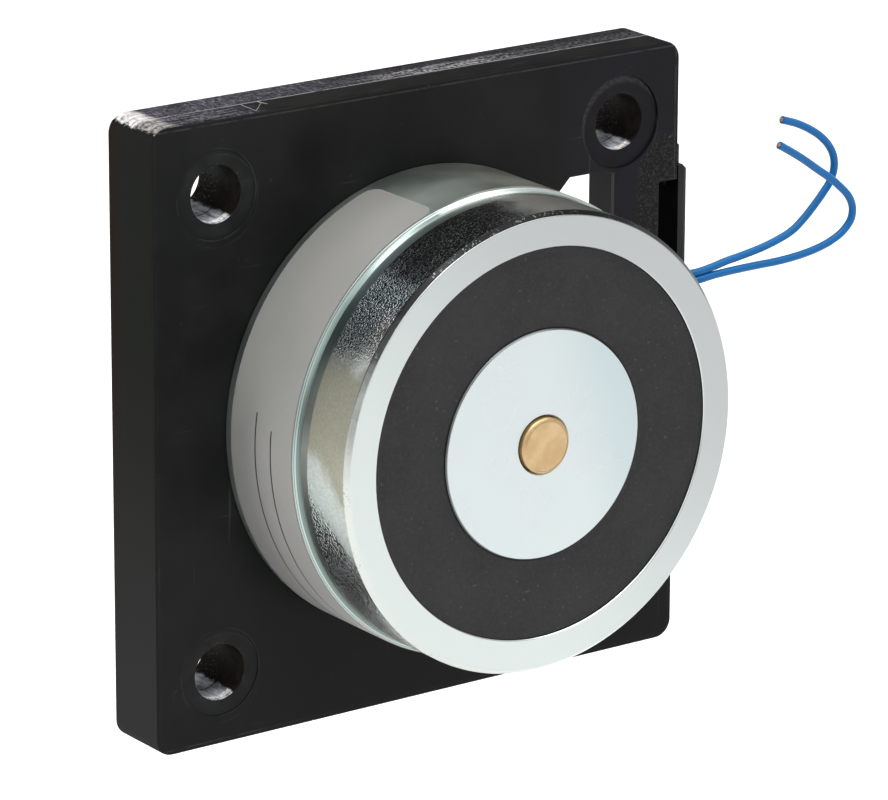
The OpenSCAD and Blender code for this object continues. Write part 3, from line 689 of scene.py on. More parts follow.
    # painted glints and painted dark reflections: light and black specks on the blasted body, set by angle
    dots = n.blend(n.math("MAXIMUM", n.ramp(turn, -14 * deg, -4 * deg), far), n.noise(0.40, 1.5, 0.55), n.noise(0.27, 1.5, 0.55))
    glint_specks = n.math("MULTIPLY", n.ramp(dots, 0.56, 0.64), n.blend(n.ramp(clouds, 0.35, 0.65), 0.35, 0.85))
    black = n.ramp(dots, 0.50, 0.42)
    near_rim = n.ramp(y, -32.0 * MM, -35.2 * MM)
    tone = n.mix(n.math("MULTIPLY", black, n.math("MULTIPLY", blasted, n.blend(far, n.ramp(angle, 30 * deg, 50 * deg, 0.62, 0.85), 0.7))), tone, (0.035, 0.037, 0.037))
    tone = n.mix(n.math("MULTIPLY", glint_specks, n.math("MULTIPLY", blasted, n.blend(near_rim, 0.7, 1.0))), tone, (0.92, 0.96, 0.95))
    # painted glints: lighter speckle beside the ring, above the olive patch
    patch = n.math("MULTIPLY", n.band(turn, 27 * deg, 44 * deg, 8 * deg), n.ramp(y, -32.4 * MM, -35.4 * MM))
    tone = n.mix(n.math("MULTIPLY", patch, n.ramp(dots, 0.36, 0.52, 0.70, 1.0)), tone, (0.93, 0.97, 0.96))
    # painted glints: lighter speckle low on the left, beside the ring
    low = n.math("MULTIPLY", n.band(turn, -66 * deg, -26 * deg, 8 * deg), n.ramp(y, -32.6 * MM, -34.6 * MM))
    tone = n.mix(n.math("MULTIPLY", low, n.ramp(dots, 0.42, 0.58, 0.15, 0.75)), tone, (0.85, 0.90, 0.88))
    base = n.mix(body, base, tone)
    # rim between body and face: a cream painted highlight at the left, painted dark reflection further up, scratched
    # there
    tone = n.stops(turn, -90, 130, ((-90, (0.50, 0.53, 0.51)), (8, (0.50, 0.52, 0.49)), (20, (0.26, 0.28, 0.27)),
                                    (30, (0.05, 0.052, 0.052)), (44, (0.014, 0.014, 0.014)), (130, (0.009, 0.009, 0.009))))
    tone = n.mix(far, tone, (0.30, 0.31, 0.305))
    nicks = n.math("MULTIPLY", n.ramp(n.noise(0.35, 2, 0.6), 0.58, 0.64), n.ramp(n.noise(3.0, 2), 0.50, 0.60))
    base = n.mix(rim, base, n.mix(n.math("MULTIPLY", nicks, 0.7), tone, (0.16, 0.17, 0.165)))
    # front face: bright, a little duller towards the upper right
    dull = n.ramp(n.math("ADD", x, z), -30 * MM, 34 * MM)
    base = n.mix(face, base, n.mix(dull, n.mix(clouds, (0.475, 0.520, 0.507), (0.495, 0.532, 0.524)), (0.375, 0.392, 0.392)))

    rough = n.blend(body, 0.24, n.blend(calm, 0.20, n.ramp(turn, 48 * deg, 58 * deg, 0.40, 0.17)))
    rough = n.math("ADD", rough, n.math("MULTIPLY", body, n.ramp(turn, 82 * deg, 92 * deg, 0.0, 0.24)))
    rough = n.blend(n.math("MULTIPLY", body, far), rough, 0.40)
    rough = n.blend(rear, rough, n.blend(n.ramp(clouds, 0.3, 0.7), 0.40, 0.45))
    rough = n.blend(groove, rough, 0.30)
    rough = n.blend(face, rough, 0.24)

    depth = n.blend(far, n.ramp(turn, 48 * deg, 58 * deg, 0.30, 0.10), 0.25)
    pits = n.math("MULTIPLY", n.ramp(dots, 0.36, 0.64), n.math("MULTIPLY", blasted, depth))
    turned = n.noise(0.12, 3, 0.6, n.scaled(0.02, 1.0, 0.02))
    turned = n.math("MULTIPLY", turned, n.math("MULTIPLY", n.math("ADD", rear, groove), 0.05))
    grain = n.math("MULTIPLY", cast, n.math("MULTIPLY", body, 0.10))
    rings = n.make("CombineXYZ")
    n.put(rings.inputs[0], r)
    facing = n.noise(0.09, 3, 0.6, rings.outputs[0])
    facing = n.math("MULTIPLY", facing, n.math("MULTIPLY", face, 0.02))
    height = n.math("ADD", n.math("ADD", pits, grain), n.math("ADD", turned, facing))
    n.set(Base_Color=base, Roughness=rough, Normal=n.bump(height, 75))
    n.bsdf.inputs["Metallic"].default_value = 1.0
    return n.mat


def pole_steel():
    n = Nodes("pole_steel")
    r = n.radius()
    clouds = n.noise(9, 2, 0.5)
    rings = n.make("CombineXYZ")
    n.put(rings.inputs[0], r)
    facing = n.noise(0.10, 3, 0.6, rings.outputs[0])
    x, y, z = n.xyz()
    base = n.mix(n.ramp(clouds, 0.35, 0.7), (0.485, 0.535, 0.532), (0.490, 0.528, 0.534))
    base = n.mix(n.ramp(n.math("ADD", x, n.math("MULTIPLY", z, 0.3)), 3 * MM, 15 * MM), base, (0.415, 0.480, 0.497))
    base = n.mix(n.ramp(r, 15.22 * MM, 15.4 * MM), base, (0.10, 0.105, 0.105))
    rough = n.blend(clouds, 0.24, 0.30)
    height = n.math("ADD", n.math("MULTIPLY", facing, 0.04), n.math("MULTIPLY", n.noise(0.4, 3), 0.04))
    n.set(Base_Color=base, Roughness=rough, Normal=n.bump(height, 25))
    n.bsdf.inputs["Metallic"].default_value = 1.0
    return n.mat


def brass():
    """Turned brass with the tool's rings on its face."""
    n = Nodes("brass")
    r = n.radius()
    rings = n.make("CombineXYZ")
    n.put(rings.inputs[0], r)
    groove = n.noise(0.22, 3, 0.7, rings.outputs[0])
    patch = n.noise(2.4, 3, 0.6)
    base = n.mix(n.ramp(patch, 0.35, 0.7), (0.435, 0.300, 0.150), (0.515, 0.375, 0.212))
    base = n.mix(n.ramp(groove, 0.55, 0.75, 0.0, 0.5), base, (0.34, 0.22, 0.10))
    height = n.math("ADD", groove, n.math("MULTIPLY", patch, 1.2))
    n.set(Base_Color=base, Roughness=n.blend(patch, 0.28, 0.42), Normal=n.bump(height, 22))
    n.bsdf.inputs["Metallic"].default_value = 0.9
    return n.mat


def resin():
    n = Nodes("resin")
    fine, clouds = n.noise(0.4, 3, 0.65), n.noise(8, 3)
    speck = n.ramp(n.noise(0.5, 1, 0.5), 0.70, 0.78)
    base = n.mix(n.ramp(clouds, 0.3, 0.7), (0.0150, 0.0150, 0.0153), (0.0205, 0.0200, 0.0205))
    base = n.mix(n.math("MULTIPLY", n.ramp(fine, 0.4, 0.7), 0.35), base, (0.032, 0.0315, 0.032))
    base = n.mix(n.math("MULTIPLY", speck, 0.35), base, (0.11, 0.09, 0.095))
    joint = n.math("MAXIMUM", n.ramp(n.radius(), 15.75 * MM, 15.6 * MM), n.ramp(n.radius(), 26.12 * MM, 26.22 * MM))
    base = n.mix(joint, base, (0.004, 0.004, 0.004))
    n.set(Base_Color=base, Roughness=n.blend(clouds, 0.62, 0.74), Normal=n.bump(n.math("ADD", fine, n.math("MULTIPLY", clouds, 2.0)), 12))
    n.bsdf.inputs["Specular IOR Level"].default_value = 0.18
    return n.mat


def foil():
    """Matt silver nameplate, blank but for two ruled lines along it, with painted shade towards its top and near the
    plate.
    """
    n = Nodes("foil")
    x, y, z = n.xyz()
    angle = n.math("ARCTAN2", z, n.math("MULTIPLY", x, -1.0))   # 0 at the left, rising upwards
    fine, clouds = n.noise(0.22, 3, 0.7), n.noise(12, 2)
    base = n.mix(n.ramp(clouds, 0.3, 0.7), (0.285, 0.284, 0.270), (0.305, 0.302, 0.288))
    base = n.mix(n.math("MULTIPLY", n.ramp(fine, 0.42, 0.8), 0.35), base, (0.225, 0.222, 0.21))
    # painted shade: darker towards the top of the foil
    base = n.mix(n.stops(angle, -90, 130, ((-90, (0.0, 0.0, 0.0)), (10, (0.10, 0.10, 0.10)), (40, (0.20, 0.20, 0.20)), (75, (0.36, 0.36, 0.36)))),
                 base, (0.0, 0.0, 0.0))
    # painted shade: darker towards the plate, on the left and lower part
    base = n.mix(n.math("MULTIPLY", n.ramp(y, -21.0 * MM, -14.0 * MM, 0.0, 0.20), n.ramp(angle, 0.0, math.radians(24), 1.0, 0.0)), base, (0.0, 0.0, 0.0))
    lines = None
    for y0, a0, a1 in ((-17.2, -65.0, 9.0), (-20.7, -65.0, 6.0)):
        line = n.band(y, (y0 - 0.13) * MM, (y0 + 0.13) * MM, 0.06 * MM)
        line = n.math("MULTIPLY", line, n.band(angle, math.radians(a0), math.radians(a1), math.radians(0.3)))
        lines = line if lines is None else n.math("ADD", lines, line)
    base = n.mix(n.math("MULTIPLY", lines, n.ramp(fine, 0.15, 0.4, 0.75, 1.0)), base, (0.014, 0.014, 0.014))
    n.set(Base_Color=base, Roughness=n.blend(clouds, 0.50, 0.56), Normal=n.bump(fine, 3))
    n.bsdf.inputs["Metallic"].default_value = 0.2
    return n.mat


def lead_blue(name="lead_blue"):
    n = Nodes(name)
    clouds = n.noise(5, 2)
    base = n.mix(clouds, (0.0008, 0.078, 0.235), (0.0012, 0.102, 0.290))
    n.set(Base_Color=base, Roughness=n.blend(n.noise(1.1, 3), 0.30, 0.42), Normal=n.bump(n.noise(0.9, 3), 10))
    n.bsdf.inputs["Specular IOR Level"].default_value = 0.22
    return n.mat


def simple(name, dark, light, rough, metallic=0.0, size=1.5, bump=6.0, spec=0.5, streak=None):
    """Plain material with cloudy colour, uneven gloss and a fine surface."""
    n = Nodes(name)
    vec = n.scaled(*streak) if streak else None
    clouds, fine = n.noise(size * 3, 3, 0.55), n.noise(size * 0.25, 3, 0.65, vec)
    base = n.mix(n.ramp(n.math("ADD", n.math("MULTIPLY", clouds, 0.6), n.math("MULTIPLY", fine, 0.4)), 0.35, 0.65), dark, light)
    n.set(Base_Color=base, Roughness=n.blend(clouds, rough[0], rough[1]), Normal=n.bump(n.math("ADD", fine, clouds), bump))
    n.bsdf.inputs["Metallic"].default_value = metallic
    n.bsdf.inputs["Specular IOR Level"].default_value = spec
    return n.mat


M = {
    "black_plastic": black_plastic(),
    "plate_sides": plate_sides(),
    "hole_walls": hole_walls(),
    "cover_plastic": cover_plastic(),
    # near black: painted shade for the inner faces of the cover's rib
    "cover_rib_shade": simple("cover_rib_shade", (0.0012, 0.0012, 0.0012), (0.0026, 0.0026, 0.0026), (0.7, 0.8), spec=0.01),
    "zinc_steel": zinc_steel(),
    "pole_steel": pole_steel(),
    "brass": brass(),
    "resin": resin(),
    "foil": foil(),
    "lead_insulation": lead_blue(),
    "fibre": simple("fibre", (0.30, 0.10, 0.05), (0.42, 0.17, 0.09), (0.6, 0.75), size=2.0, bump=15),
    "nylon": simple("nylon", (0.72, 0.68, 0.56), (0.82, 0.79, 0.70), (0.4, 0.5), size=3.0),
    "copper": simple("copper", (0.42, 0.13, 0.04), (0.62, 0.24, 0.09), (0.3, 0.42), 0.9, 0.9, 25, streak=(0.05, 1.0, 0.05)),
    "tape": simple("tape", (0.60, 0.44, 0.06), (0.74, 0.58, 0.13), (0.25, 0.35), size=2.0),
    "spring_steel": simple("spring_steel", (0.34, 0.34, 0.35), (0.52, 0.52, 0.53), (0.3, 0.4), 1.0, 0.6),
    "dark_steel": simple("dark_steel", (0.022, 0.022, 0.025), (0.05, 0.05, 0.055), (0.38, 0.5), 0.8, 1.0),
    "screw_steel": simple("screw_steel", (0.56, 0.59, 0.60), (0.72, 0.74, 0.74), (0.24, 0.36), 1.0, 0.8, 10),
    "rubber": simple("rubber", (0.012, 0.012, 0.012), (0.024, 0.024, 0.024), (0.6, 0.75), size=1.2, bump=12, spec=0.3),
    "sleeve": simple("sleeve", (0.66, 0.61, 0.48), (0.84, 0.80, 0.70), (0.5, 0.6), size=0.5, bump=40),
    "solder": simple("solder", (0.42, 0.43, 0.44), (0.64, 0.65, 0.66), (0.25, 0.4), 1.0, 0.5, 20),
    "conductor": simple("conductor", (0.42, 0.18, 0.08), (0.68, 0.36, 0.19), (0.28, 0.4), 1.0, 0.15, 4),
}


# ------------------------------------------------------------------ free leads

OUT_UPPER = [(41, -10, 10.3), (41, -11.6, 10.3), (41.5, -13.1, 10.5), (42.7, -14.1, 10.8),
             (44.7, -14.5, 11.2), (47.5, -14.5, 11.7), (50.5, -14.5, 12.1), (53.6, -14.5, 12.6),
             (56.5, -14.5, 13.3), (59, -14.5, 14.2), (60.9, -14.5, 15.5), (62.6, -14.5, 17),
             (64.2, -14.5, 18.6), (65.6, -14.5, 20.3), (66.2, -14.5, 22.1), (66, -14.5, 23.8),
             (65.1, -14.5, 25.4), (63.7, -14.5, 26.8), (61.8, -14.5, 28.1), (59.4, -14.5, 29.3),
             (56.8, -14.5, 30.2)]
OUT_LOWER = [(41, -10, 8.9), (41, -11.6, 9), (41.5, -13.3, 9.4), (42.8, -14.4, 9.8),
             (45.3, -14.8, 10.2), (48.8, -15, 10.4), (52.3, -15.2, 10.5), (55.7, -15.5, 10.6),
             (58.8, -15.8, 10.9), (61.8, -16, 11.4), (64.4, -16.2, 12.2), (66.5, -16.4, 13.4),
             (67.7, -16.6, 15), (67.8, -16.7, 16.7), (66.9, -16.9, 18.4), (65.3, -17, 20),
             (63.5, -17, 21.5), (61.2, -17, 23.1), (58.6, -17.2, 24.9), (56.2, -17.4, 26.4),
             (54, -17.5, 27.7)]
LEAD_D = 1.1


def through(points, per=6):
    """Smooth line through the points (centripetal Catmull-Rom), per steps between each pair."""
    p = [Vector(q) for q in points]
    p = [p[0] * 2 - p[1], *p, p[-1] * 2 - p[-2]]
    out = []
    for i in range(1, len(p) - 2):
        a, b, c, d = p[i - 1:i + 3]
        t0 = 0.0
        t1 = t0 + max((b - a).length, 1e-9) ** 0.5
        t2 = t1 + max((c - b).length, 1e-9) ** 0.5
        t3 = t2 + max((d - c).length, 1e-9) ** 0.5
        for k in range(per):
            t = t1 + (t2 - t1) * k / per
            a1 = (t1 - t) / (t1 - t0) * a + (t - t0) / (t1 - t0) * b
            a2 = (t2 - t) / (t2 - t1) * b + (t - t1) / (t2 - t1) * c
            a3 = (t3 - t) / (t3 - t2) * c + (t - t2) / (t3 - t2) * d
            b1 = (t2 - t) / (t2 - t0) * a1 + (t - t0) / (t2 - t0) * a2
            b2 = (t3 - t) / (t3 - t1) * a2 + (t - t1) / (t3 - t1) * a3
            out.append((t2 - t) / (t2 - t1) * b1 + (t - t1) / (t2 - t1) * b2)
    out.append(p[-2])
    return out


def tube_curve(name, line_mm, d_mm, per=6):
    line = through(line_mm, per)
    cu = bpy.data.curves.new(name, "CURVE")
    cu.dimensions = "3D"
    cu.bevel_depth = d_mm / 2 * MM
    cu.bevel_resolution = 6
    cu.use_fill_caps = True
    sp = cu.splines.new("POLY")
    sp.points.add(len(line) - 1)
    for pt, q in zip(sp.points, line):
        pt.co = (q.x * MM, q.y * MM, q.z * MM, 1.0)
    sp.use_smooth = True
    length = sum((line[i + 1] - line[i]).length for i in range(len(line) - 1)) * MM
    ob = bpy.data.objects.new(name, cu)
    scene.collection.objects.link(ob)
    cu.materials.append(M["lead_insulation"])
    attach(ob, "magnet")
    return ob, length, line


def strands(name, tip, back):
    """Seven fine wires that show at the cut end of a lead."""
    t = (tip - back).normalized()
    s = t.cross(Vector((0, 0, 1))).normalized()
    u = t.cross(s)
    pts, faces = [], []
    wire, n = 0.085, 12
    for j in range(7):
        off = Vector((0, 0, 0)) if j == 0 else (s * math.cos(j * math.pi / 3) + u * math.sin(j * math.pi / 3)) * wire * 2.05
        out = 0.20 + 0.05 * ((j * 5) % 7) / 7
        rings = []
        for h, rr in ((-0.6, wire), (out - 0.03, wire), (out, wire * 0.7)):
            first = len(pts)
            pts += [tip + off + t * h + (s * math.cos(2 * math.pi * k / n) + u * math.sin(2 * math.pi * k / n)) * rr
                    for k in range(n)]
            rings.append(list(range(first, first + n)))
        faces.append(tuple(rings[0]))
        for a, b in zip(rings, rings[1:]):
            faces += [(a[k], a[(k + 1) % n], b[(k + 1) % n], b[k]) for k in range(n)]
        faces.append(tuple(rings[-1]))
    me = bpy.data.meshes.new(name)
    me.from_pydata([tuple(p * MM) for p in pts], [], faces)
    bm = bmesh.new()
    bm.from_mesh(me)
    bmesh.ops.recalc_face_normals(bm, faces=bm.faces)
    bm.to_mesh(me)
    bm.free()
    smooth(me, 40)
    return give(link(name, me, "magnet"), M["conductor"])


for lead, points in (("upper", OUT_UPPER), ("lower", OUT_LOWER)):
    piece, length, line = tube_curve("lead_" + lead + "_cord", points, LEAD_D)
    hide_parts("lead_" + lead)
    end = strands("lead_" + lead + "_strands", line[-1], line[-2])
    if lead == "upper":
        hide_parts("bare_ends")


# ------------------------------------------------------------------ pot, pole, resin, pin, label

def pot():
    """The pot, with its lead hole and the two screw holes through the base."""
    n = 256
    s = Solid()
    out = rounded([(31.2, 10, 0.08), (31.5, 10.3, 0.15), (31.5, 25.6, 0.06), (31.17, 25.86, 0.05),
                   (30.8, 26.35, 0.1), (30.85, 26.5, 0), (30.85, 28.0, 0.05), (31.0, 28.15, 0.08), (31.0, 36.3, 0.2), (30.4, 37, 0.14), (26.45, 37, 0.06),
                   (26.3, 36.85, 0.06), (26.3, 16, 0.3)], 4)
    rings = [s.circle(r, z, n) for r, z in out]
    for a, b in zip(rings, rings[1:]):
        s.bridge(a, b)
    z_in, z_out = out[-1][1], out[0][1]
    holes = [(21.6, 7.87, 3.1, 64), (0, 20, 2.0, 48), (0, -20, 2.0, 48)]
    low, high = [s.circle(12, z_out, n)], [s.circle(12, z_in, n)]
    for cx, cy, r, m in holes:
        low.append(s.circle(r, z_out, m, cx, cy))
        high.append(s.circle(r, z_in, m, cx, cy))
    for a, b in zip(low, high):
        s.bridge(a, b)
    s.cap([rings[0], *low])
    s.cap([rings[-1], *high])
    me = s.mesh("pot")
    smooth(me, 30)
    return weighted(give(link("pot", me, "magnet", ("pot_shell",)), M["zinc_steel"]))


def pole():
    out = rounded([(5, 10, 0), (12, 10, 0), (12, 16, 0), (15.5, 16, 0.1), (15.5, 36.8, 0.08), (15.3, 37, 0.08),
                   (4.07, 37, 0.05), (3.8, 36.7, 0.05), (3.8, 32.8, 0), (4.25, 32.8, 0), (4.25, 18, 0), (5, 18, 0)], 3)
    me = lathe(out, 256).mesh("pole")
    smooth(me, 30)
    return weighted(give(link("pole", me, "magnet", ("pole_core",)), M["pole_steel"]))


def resin_ring():
    """Cast ring whose surface climbs a little where it wets the pole and the pot's wall."""
    z1 = 36.6
    prof = [(15.5, 34.1), (26.3, 34.1), (26.3, z1 + 0.10)]
    steps = 14
    for k in range(steps + 1):
        t = k / steps
        prof.append((26.3 - 1.3 * t, z1 + 0.10 * (1 - t) ** 3 - 0.04 * math.sin(math.pi * min(1.0, t)) * t))
    for k in range(1, 10):
        prof.append((25.0 - 8.2 * k / 10, z1 + 0.015 * math.sin(k * 2.1)))
    for k in range(steps, -1, -1):
        t = k / steps
        prof.append((15.5 + 1.3 * t, z1 + 0.10 * (1 - t) ** 3 - 0.04 * math.sin(math.pi * min(1.0, t)) * t))
    clean = [prof[0]]
    for p in prof[1:]:
        if math.dist(p, clean[-1]) > 1e-4:
            clean.append(p)
    s = lathe(clean, 256)
    # slow unevenness of the cast surface
    for i, (x, y, z) in enumerate(s.points):
        if z > 35:
            a = math.atan2(y, x)
            s.points[i] = (x, y, z + 0.02 * math.sin(3 * a + 0.7) + 0.012 * math.sin(7 * a + math.hypot(x, y)))
    me = s.mesh("resin_ring")
    smooth(me, 40)
    return give(link("resin_ring", me, "magnet", ("potting_ring",)), M["resin"])


def pin():
    """Ejector pin, with the tool's rings cut into its end."""
    body = rounded([(2, 27.1, 0), (2.2, 27.3, 0), (2.2, 30.1, 0), (4.15, 30.1, 0.05), (4.15, 32.75, 0.05),
                    (3.75, 32.75, 0), (3.75, 37.4, 0.06), (3.4, 37.75, 0.05)], 3)
    tail = [(3.2 - 0.2 * k, 37.75 - (0.012 if k % 2 else 0.0) - 0.01 * (k == 7)) for k in range(15)]
    prof = [(0, 27.1), *body, *tail, (0, 37.73)]
    me = lathe(prof, 160).mesh("pin")
    smooth(me, 30)
    return give(link("pin", me, "ejector", ("ejector_pin",)), M["brass"])


def spring():
    """Coil spring behind the pin, with one closed turn at each end."""
    z0, z1, turns, per, wire, coil, sides = 18.45, 29.65, 8, 28, 0.8, 3.3, 12
    lay = wire * 1.04

    def at(t):
        if t < 1:
            z = z0 + lay * t
        elif t > turns - 1:
            z = z1 - lay * (turns - t)
        else:
            z = z0 + lay + (z1 - z0 - 2 * lay) * (t - 1) / (turns - 2)
        return Vector((coil * math.cos(2 * math.pi * t), coil * math.sin(2 * math.pi * t), z))

    pts, faces, rings = [], [], []
    for i in range(turns * per + 1):
        t = i / per
        here = at(t)
        ahead = (at(min(turns, t + 0.01)) - at(max(0.0, t - 0.01))).normalized()
        out = Vector((math.cos(2 * math.pi * t), math.sin(2 * math.pi * t), 0))
        side = ahead.cross(out).normalized()
        out = side.cross(ahead)
        first = len(pts)
        for k in range(sides):
            a = 2 * math.pi * k / sides
            q = here + (out * math.cos(a) + side * math.sin(a)) * wire / 2
            pts.append((q.x * MM, -q.z * MM, q.y * MM))
        rings.append(list(range(first, first + sides)))
    faces.append(tuple(rings[0]))
    for a, b in zip(rings, rings[1:]):
        faces += [(a[k], a[(k + 1) % sides], b[(k + 1) % sides], b[k]) for k in range(sides)]
    faces.append(tuple(rings[-1]))
    me = bpy.data.meshes.new("spring")
    me.from_pydata(pts, [], faces)
    bm = bmesh.new()
    bm.from_mesh(me)
    bmesh.ops.recalc_face_normals(bm, faces=bm.faces)
    bm.to_mesh(me)
    bm.free()
    smooth(me, 40)
    ob = give(link("spring", me, "magnet", ("ejector_spring",)), M["spring_steel"])
    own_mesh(ob)
    return ob


def nameplate():
    """Foil wrapped round the left of the rear body, with round corners."""
    r0, r1 = 31.5, 31.62
    z0, z1, c = 11.6, 25.4, 2.0
    half = math.radians(73.5) * POT_R
    outline = rounded([(-half, z0, c), (half, z0, c), (half, z1, c), (-half, z1, c)], 10)
    # more points along the long sides, so that the foil bends smoothly
    dense = []
    for i, p in enumerate(outline):
        q = outline[(i + 1) % len(outline)]
        cnt = max(1, int(math.dist(p, q) / 0.8))
        dense += [(p[0] + (q[0] - p[0]) * k / cnt, p[1] + (q[1] - p[1]) * k / cnt) for k in range(cnt)]
    n = len(dense)
    pts = [Vector(p) for p in dense]
    cols = int(2 * half / 0.8)
    inner = [Vector((-half + c + 0.5 + (2 * half - 2 * c - 1) * i / cols, z0 + 1.5 + (z1 - z0 - 3) * j / 6))
             for i in range(cols + 1) for j in range(7)]
    got = delaunay_2d_cdt(pts + inner, [(i, (i + 1) % n) for i in range(n)], [], 1, 1e-7)
    flat, tris = got[0], got[2]
    verts, faces = [], []
    for r in (r0, r1):
        for p in flat:
            a = math.pi + p.x / POT_R
            verts.append((r * math.cos(a) * MM, -p.y * MM, r * math.sin(a) * MM))
    m = len(flat)
    faces += [tuple(t) for t in tris] + [tuple(m + k for k in reversed(t)) for t in tris]
    count = {}
    for t in tris:
        for a, b in zip(t, list(t[1:]) + [t[0]]):
            count[(a, b)] = count.get((a, b), 0) + 1
    for a, b in count:
        if (b, a) not in count:
            faces.append((b, a, m + a, m + b))
    me = bpy.data.meshes.new("nameplate")
    me.from_pydata(verts, [], faces)
    bm = bmesh.new()
    bm.from_mesh(me)
    bmesh.ops.recalc_face_normals(bm, faces=bm.faces)
    bm.to_mesh(me)
    bm.free()
    smooth(me, 40)
    return give(link("nameplate", me, "magnet", ("label",)), M["foil"])


pot()
pole()
resin_ring()
pin()
spring()
nameplate()


# ------------------------------------------------------------------ plate, cover and fasteners

def arc(cx, cy, r, a0, a1, n):
    """n + 1 points of an arc, angles in degrees."""
    return [(cx + r * math.cos(math.radians(a0 + (a1 - a0) * k / n)),
             cy + r * math.sin(math.radians(a0 + (a1 - a0) * k / n))) for k in range(n + 1)]


def ring_of(cx, cy, r, n):
    return arc(cx, cy, r, 0, 360, n)[:-1]


def rect(x0, y0, x1, y1):
    return [(x0, y0), (x1, y0), (x1, y1), (x0, y1)]


def soft_square(w, r, n):
    h = w / 2 - r
    return (arc(h, -h, r, -90, 0, n) + arc(h, h, r, 0, 90, n) + arc(-h, h, r, 90, 180, n) + arc(-h, -h, r, 180, 270, n))


def plate():
    """Base plate with rounded edges: a flat drawing of everything that its walls follow is cut into
    triangles, each is land (full thickness), hollow (open at the back) or air, and the walls, the
    roundings and the flat faces are built between them."""
    top, hollow_z, front_r, back_r, steps = PLATE_T, 4.7, 0.32, 0.15, 4
    h = PLATE_W / 2 - 2.5
    outline = (arc(h, -h, 2.5, -90, 0, 10) + [(42.5, -23), (39.4, -23), (39.4, 23), (42.5, 23)]
               + arc(h, h, 2.5, 0, 90, 10) + arc(-h, h, 2.5, 90, 180, 10) + arc(-h, -h, 2.5, 180, 270, 10))
    corners = [(sx * 32.5, sy * 32.5) for sx in (-1, 1) for sy in (-1, 1)]
    window = ([(31.4 - 0.35 * k, 26) for k in range(9)] + [(24.3, 26), (18.5, 20.2), (18.5, -20.2), (24.3, -26)]
              + [(31.4 - 0.35 * k, -26) for k in range(8, -1, -1)] + [(31.4, -26 + 0.35 * k) for k in range(1, 9)]
              + [(31.4, 26 - 0.35 * k) for k in range(8, 0, -1)])
    air = [window, ring_of(0, 0, 6.5, 96), ring_of(0, 20, 2.25, 48), ring_of(0, -20, 2.25, 48)]
    air += [ring_of(cx, cy, 3.8, 96) for cx, cy in corners]
    pocket = soft_square(79, 1.5, 6)
    a1, a2 = math.degrees(math.acos(16.3 / 27.0)), math.degrees(math.acos(16.3 / 25.2))
    stands = [ring_of(cx, cy, 6.7, 72) for cx, cy in corners]
    stands.append(arc(0, 0, 27.0, a1, 360 - a1, 120) + arc(0, 0, 25.2, 360 - a2, a2, 120))
    for a in (90, 135, 180, 225, 270):
        c, d = math.cos(math.radians(a)), math.sin(math.radians(a))
        stands.append([(x * c - y * d, x * d + y * c) for x, y in rect(25.6, -0.9, 41.0, 0.9)])
    stands.append(rect(16.5, -19, 18.5, 19))
    stands += [rect(23, s * 27.6 - 0.9, 41, s * 27.6 + 0.9) for s in (-1, 1)]
    stands += [rect(31.6, 32, 33.4, 41), rect(31.6, -41, 33.4, -32)]

    shapes = [outline, *air, pocket, *stands]
    pts, edges = [], []
    for shape in shapes:
        at, n = len(pts), len(shape)
        pts += [Vector(p) for p in shape]
        edges += [(at + k, at + (k + 1) % n) for k in range(n)]
    got = delaunay_2d_cdt(pts, edges, [], 0, 1e-6)
    flat, tris = [tuple(v) for v in got[0]], got[2]
    shapes = [np.array(q) for q in shapes]
    n_air = len(air)
    kind, side = [], {}
    for i, t in enumerate(tris):
        mid = tuple(sum(flat[k][j] for k in t) / 3 for j in (0, 1))
        if not inside(mid, shapes[0]) or any(inside(mid, q) for q in shapes[1:1 + n_air]):
            kind.append("air")
        elif inside(mid, shapes[1 + n_air]) and not any(inside(mid, q) for q in shapes[2 + n_air:]):
            kind.append("hollow")
        else:
            kind.append("land")
        for k in range(3):
            side[(t[k], t[(k + 1) % 3])] = i

    def what(edge):
        return kind[side[edge]] if edge in side else "air"

    def border(here, there):
        """Edges with a triangle of one kind on their left and another on their right, as loops."""
        follow = {e[0]: e[1] for e in side if what(e) in here and what((e[1], e[0])) in there}
        loops, left = [], dict(follow)
        while left:
            a, loop = next(iter(left)), []
            while a in left:
                loop.append(a)
                a = left.pop(a)
            loops.append(loop)
        return loops

    def inward(loop):
        """How far each point of a loop goes to the left, to the side of the solid, per unit."""
        out = []
        for i, v in enumerate(loop):
            p, q, r = flat[loop[i - 1]], flat[v], flat[loop[(i + 1) % len(loop)]]
            d1, d2 = Vector((q[0] - p[0], q[1] - p[1])).normalized(), Vector((r[0] - q[0], r[1] - q[1])).normalized()
            n1, n2 = Vector((-d1.y, d1.x)), Vector((-d2.y, d2.x))
            out.append((n1 + n2) / max(0.3, 1 + n1.dot(n2)))
        return out

    s = Solid()
    made = {}

    def at(v, level, z, dx=0.0, dy=0.0):
        if (v, level) not in made:
            made[(v, level)] = s.add([(flat[v][0] + dx, flat[v][1] + dy, z)])[0]
        return made[(v, level)]

    def seat(v):
        """The seat that a point on a corner hole's wall belongs to: its centre, depth and radius."""
        for cx, cy in corners:
            if math.dist(flat[v], (cx, cy)) < 3.9:
                return (cx, cy, 0.35, 6.4) if cx > 0 else (cx, cy, 0.12, 6.0)
        return None

    front_loops = border(("land", "hollow"), ("air",))
    back_loops = border(("land",), ("hollow", "air"))
    outer = max(front_loops, key=len)
    outer = max(front_loops, key=lambda lp: max(abs(flat[v][0]) for v in lp))
    on_outer = set(outer)

    # levels of the walls at each point, from the back to the front
    def edge_r(v):
        """Rounding at the front, smaller where only a thin wall is left beside a seat."""
        near = min(math.dist(flat[v], c) for c in corners if c[0] > 0)
        return 0.22 if seat(v) else min(front_r, 0.7 * (near - 6.44))

    def front_z(v):
        st = seat(v)
        return top - (st[2] if st else 0) - edge_r(v)

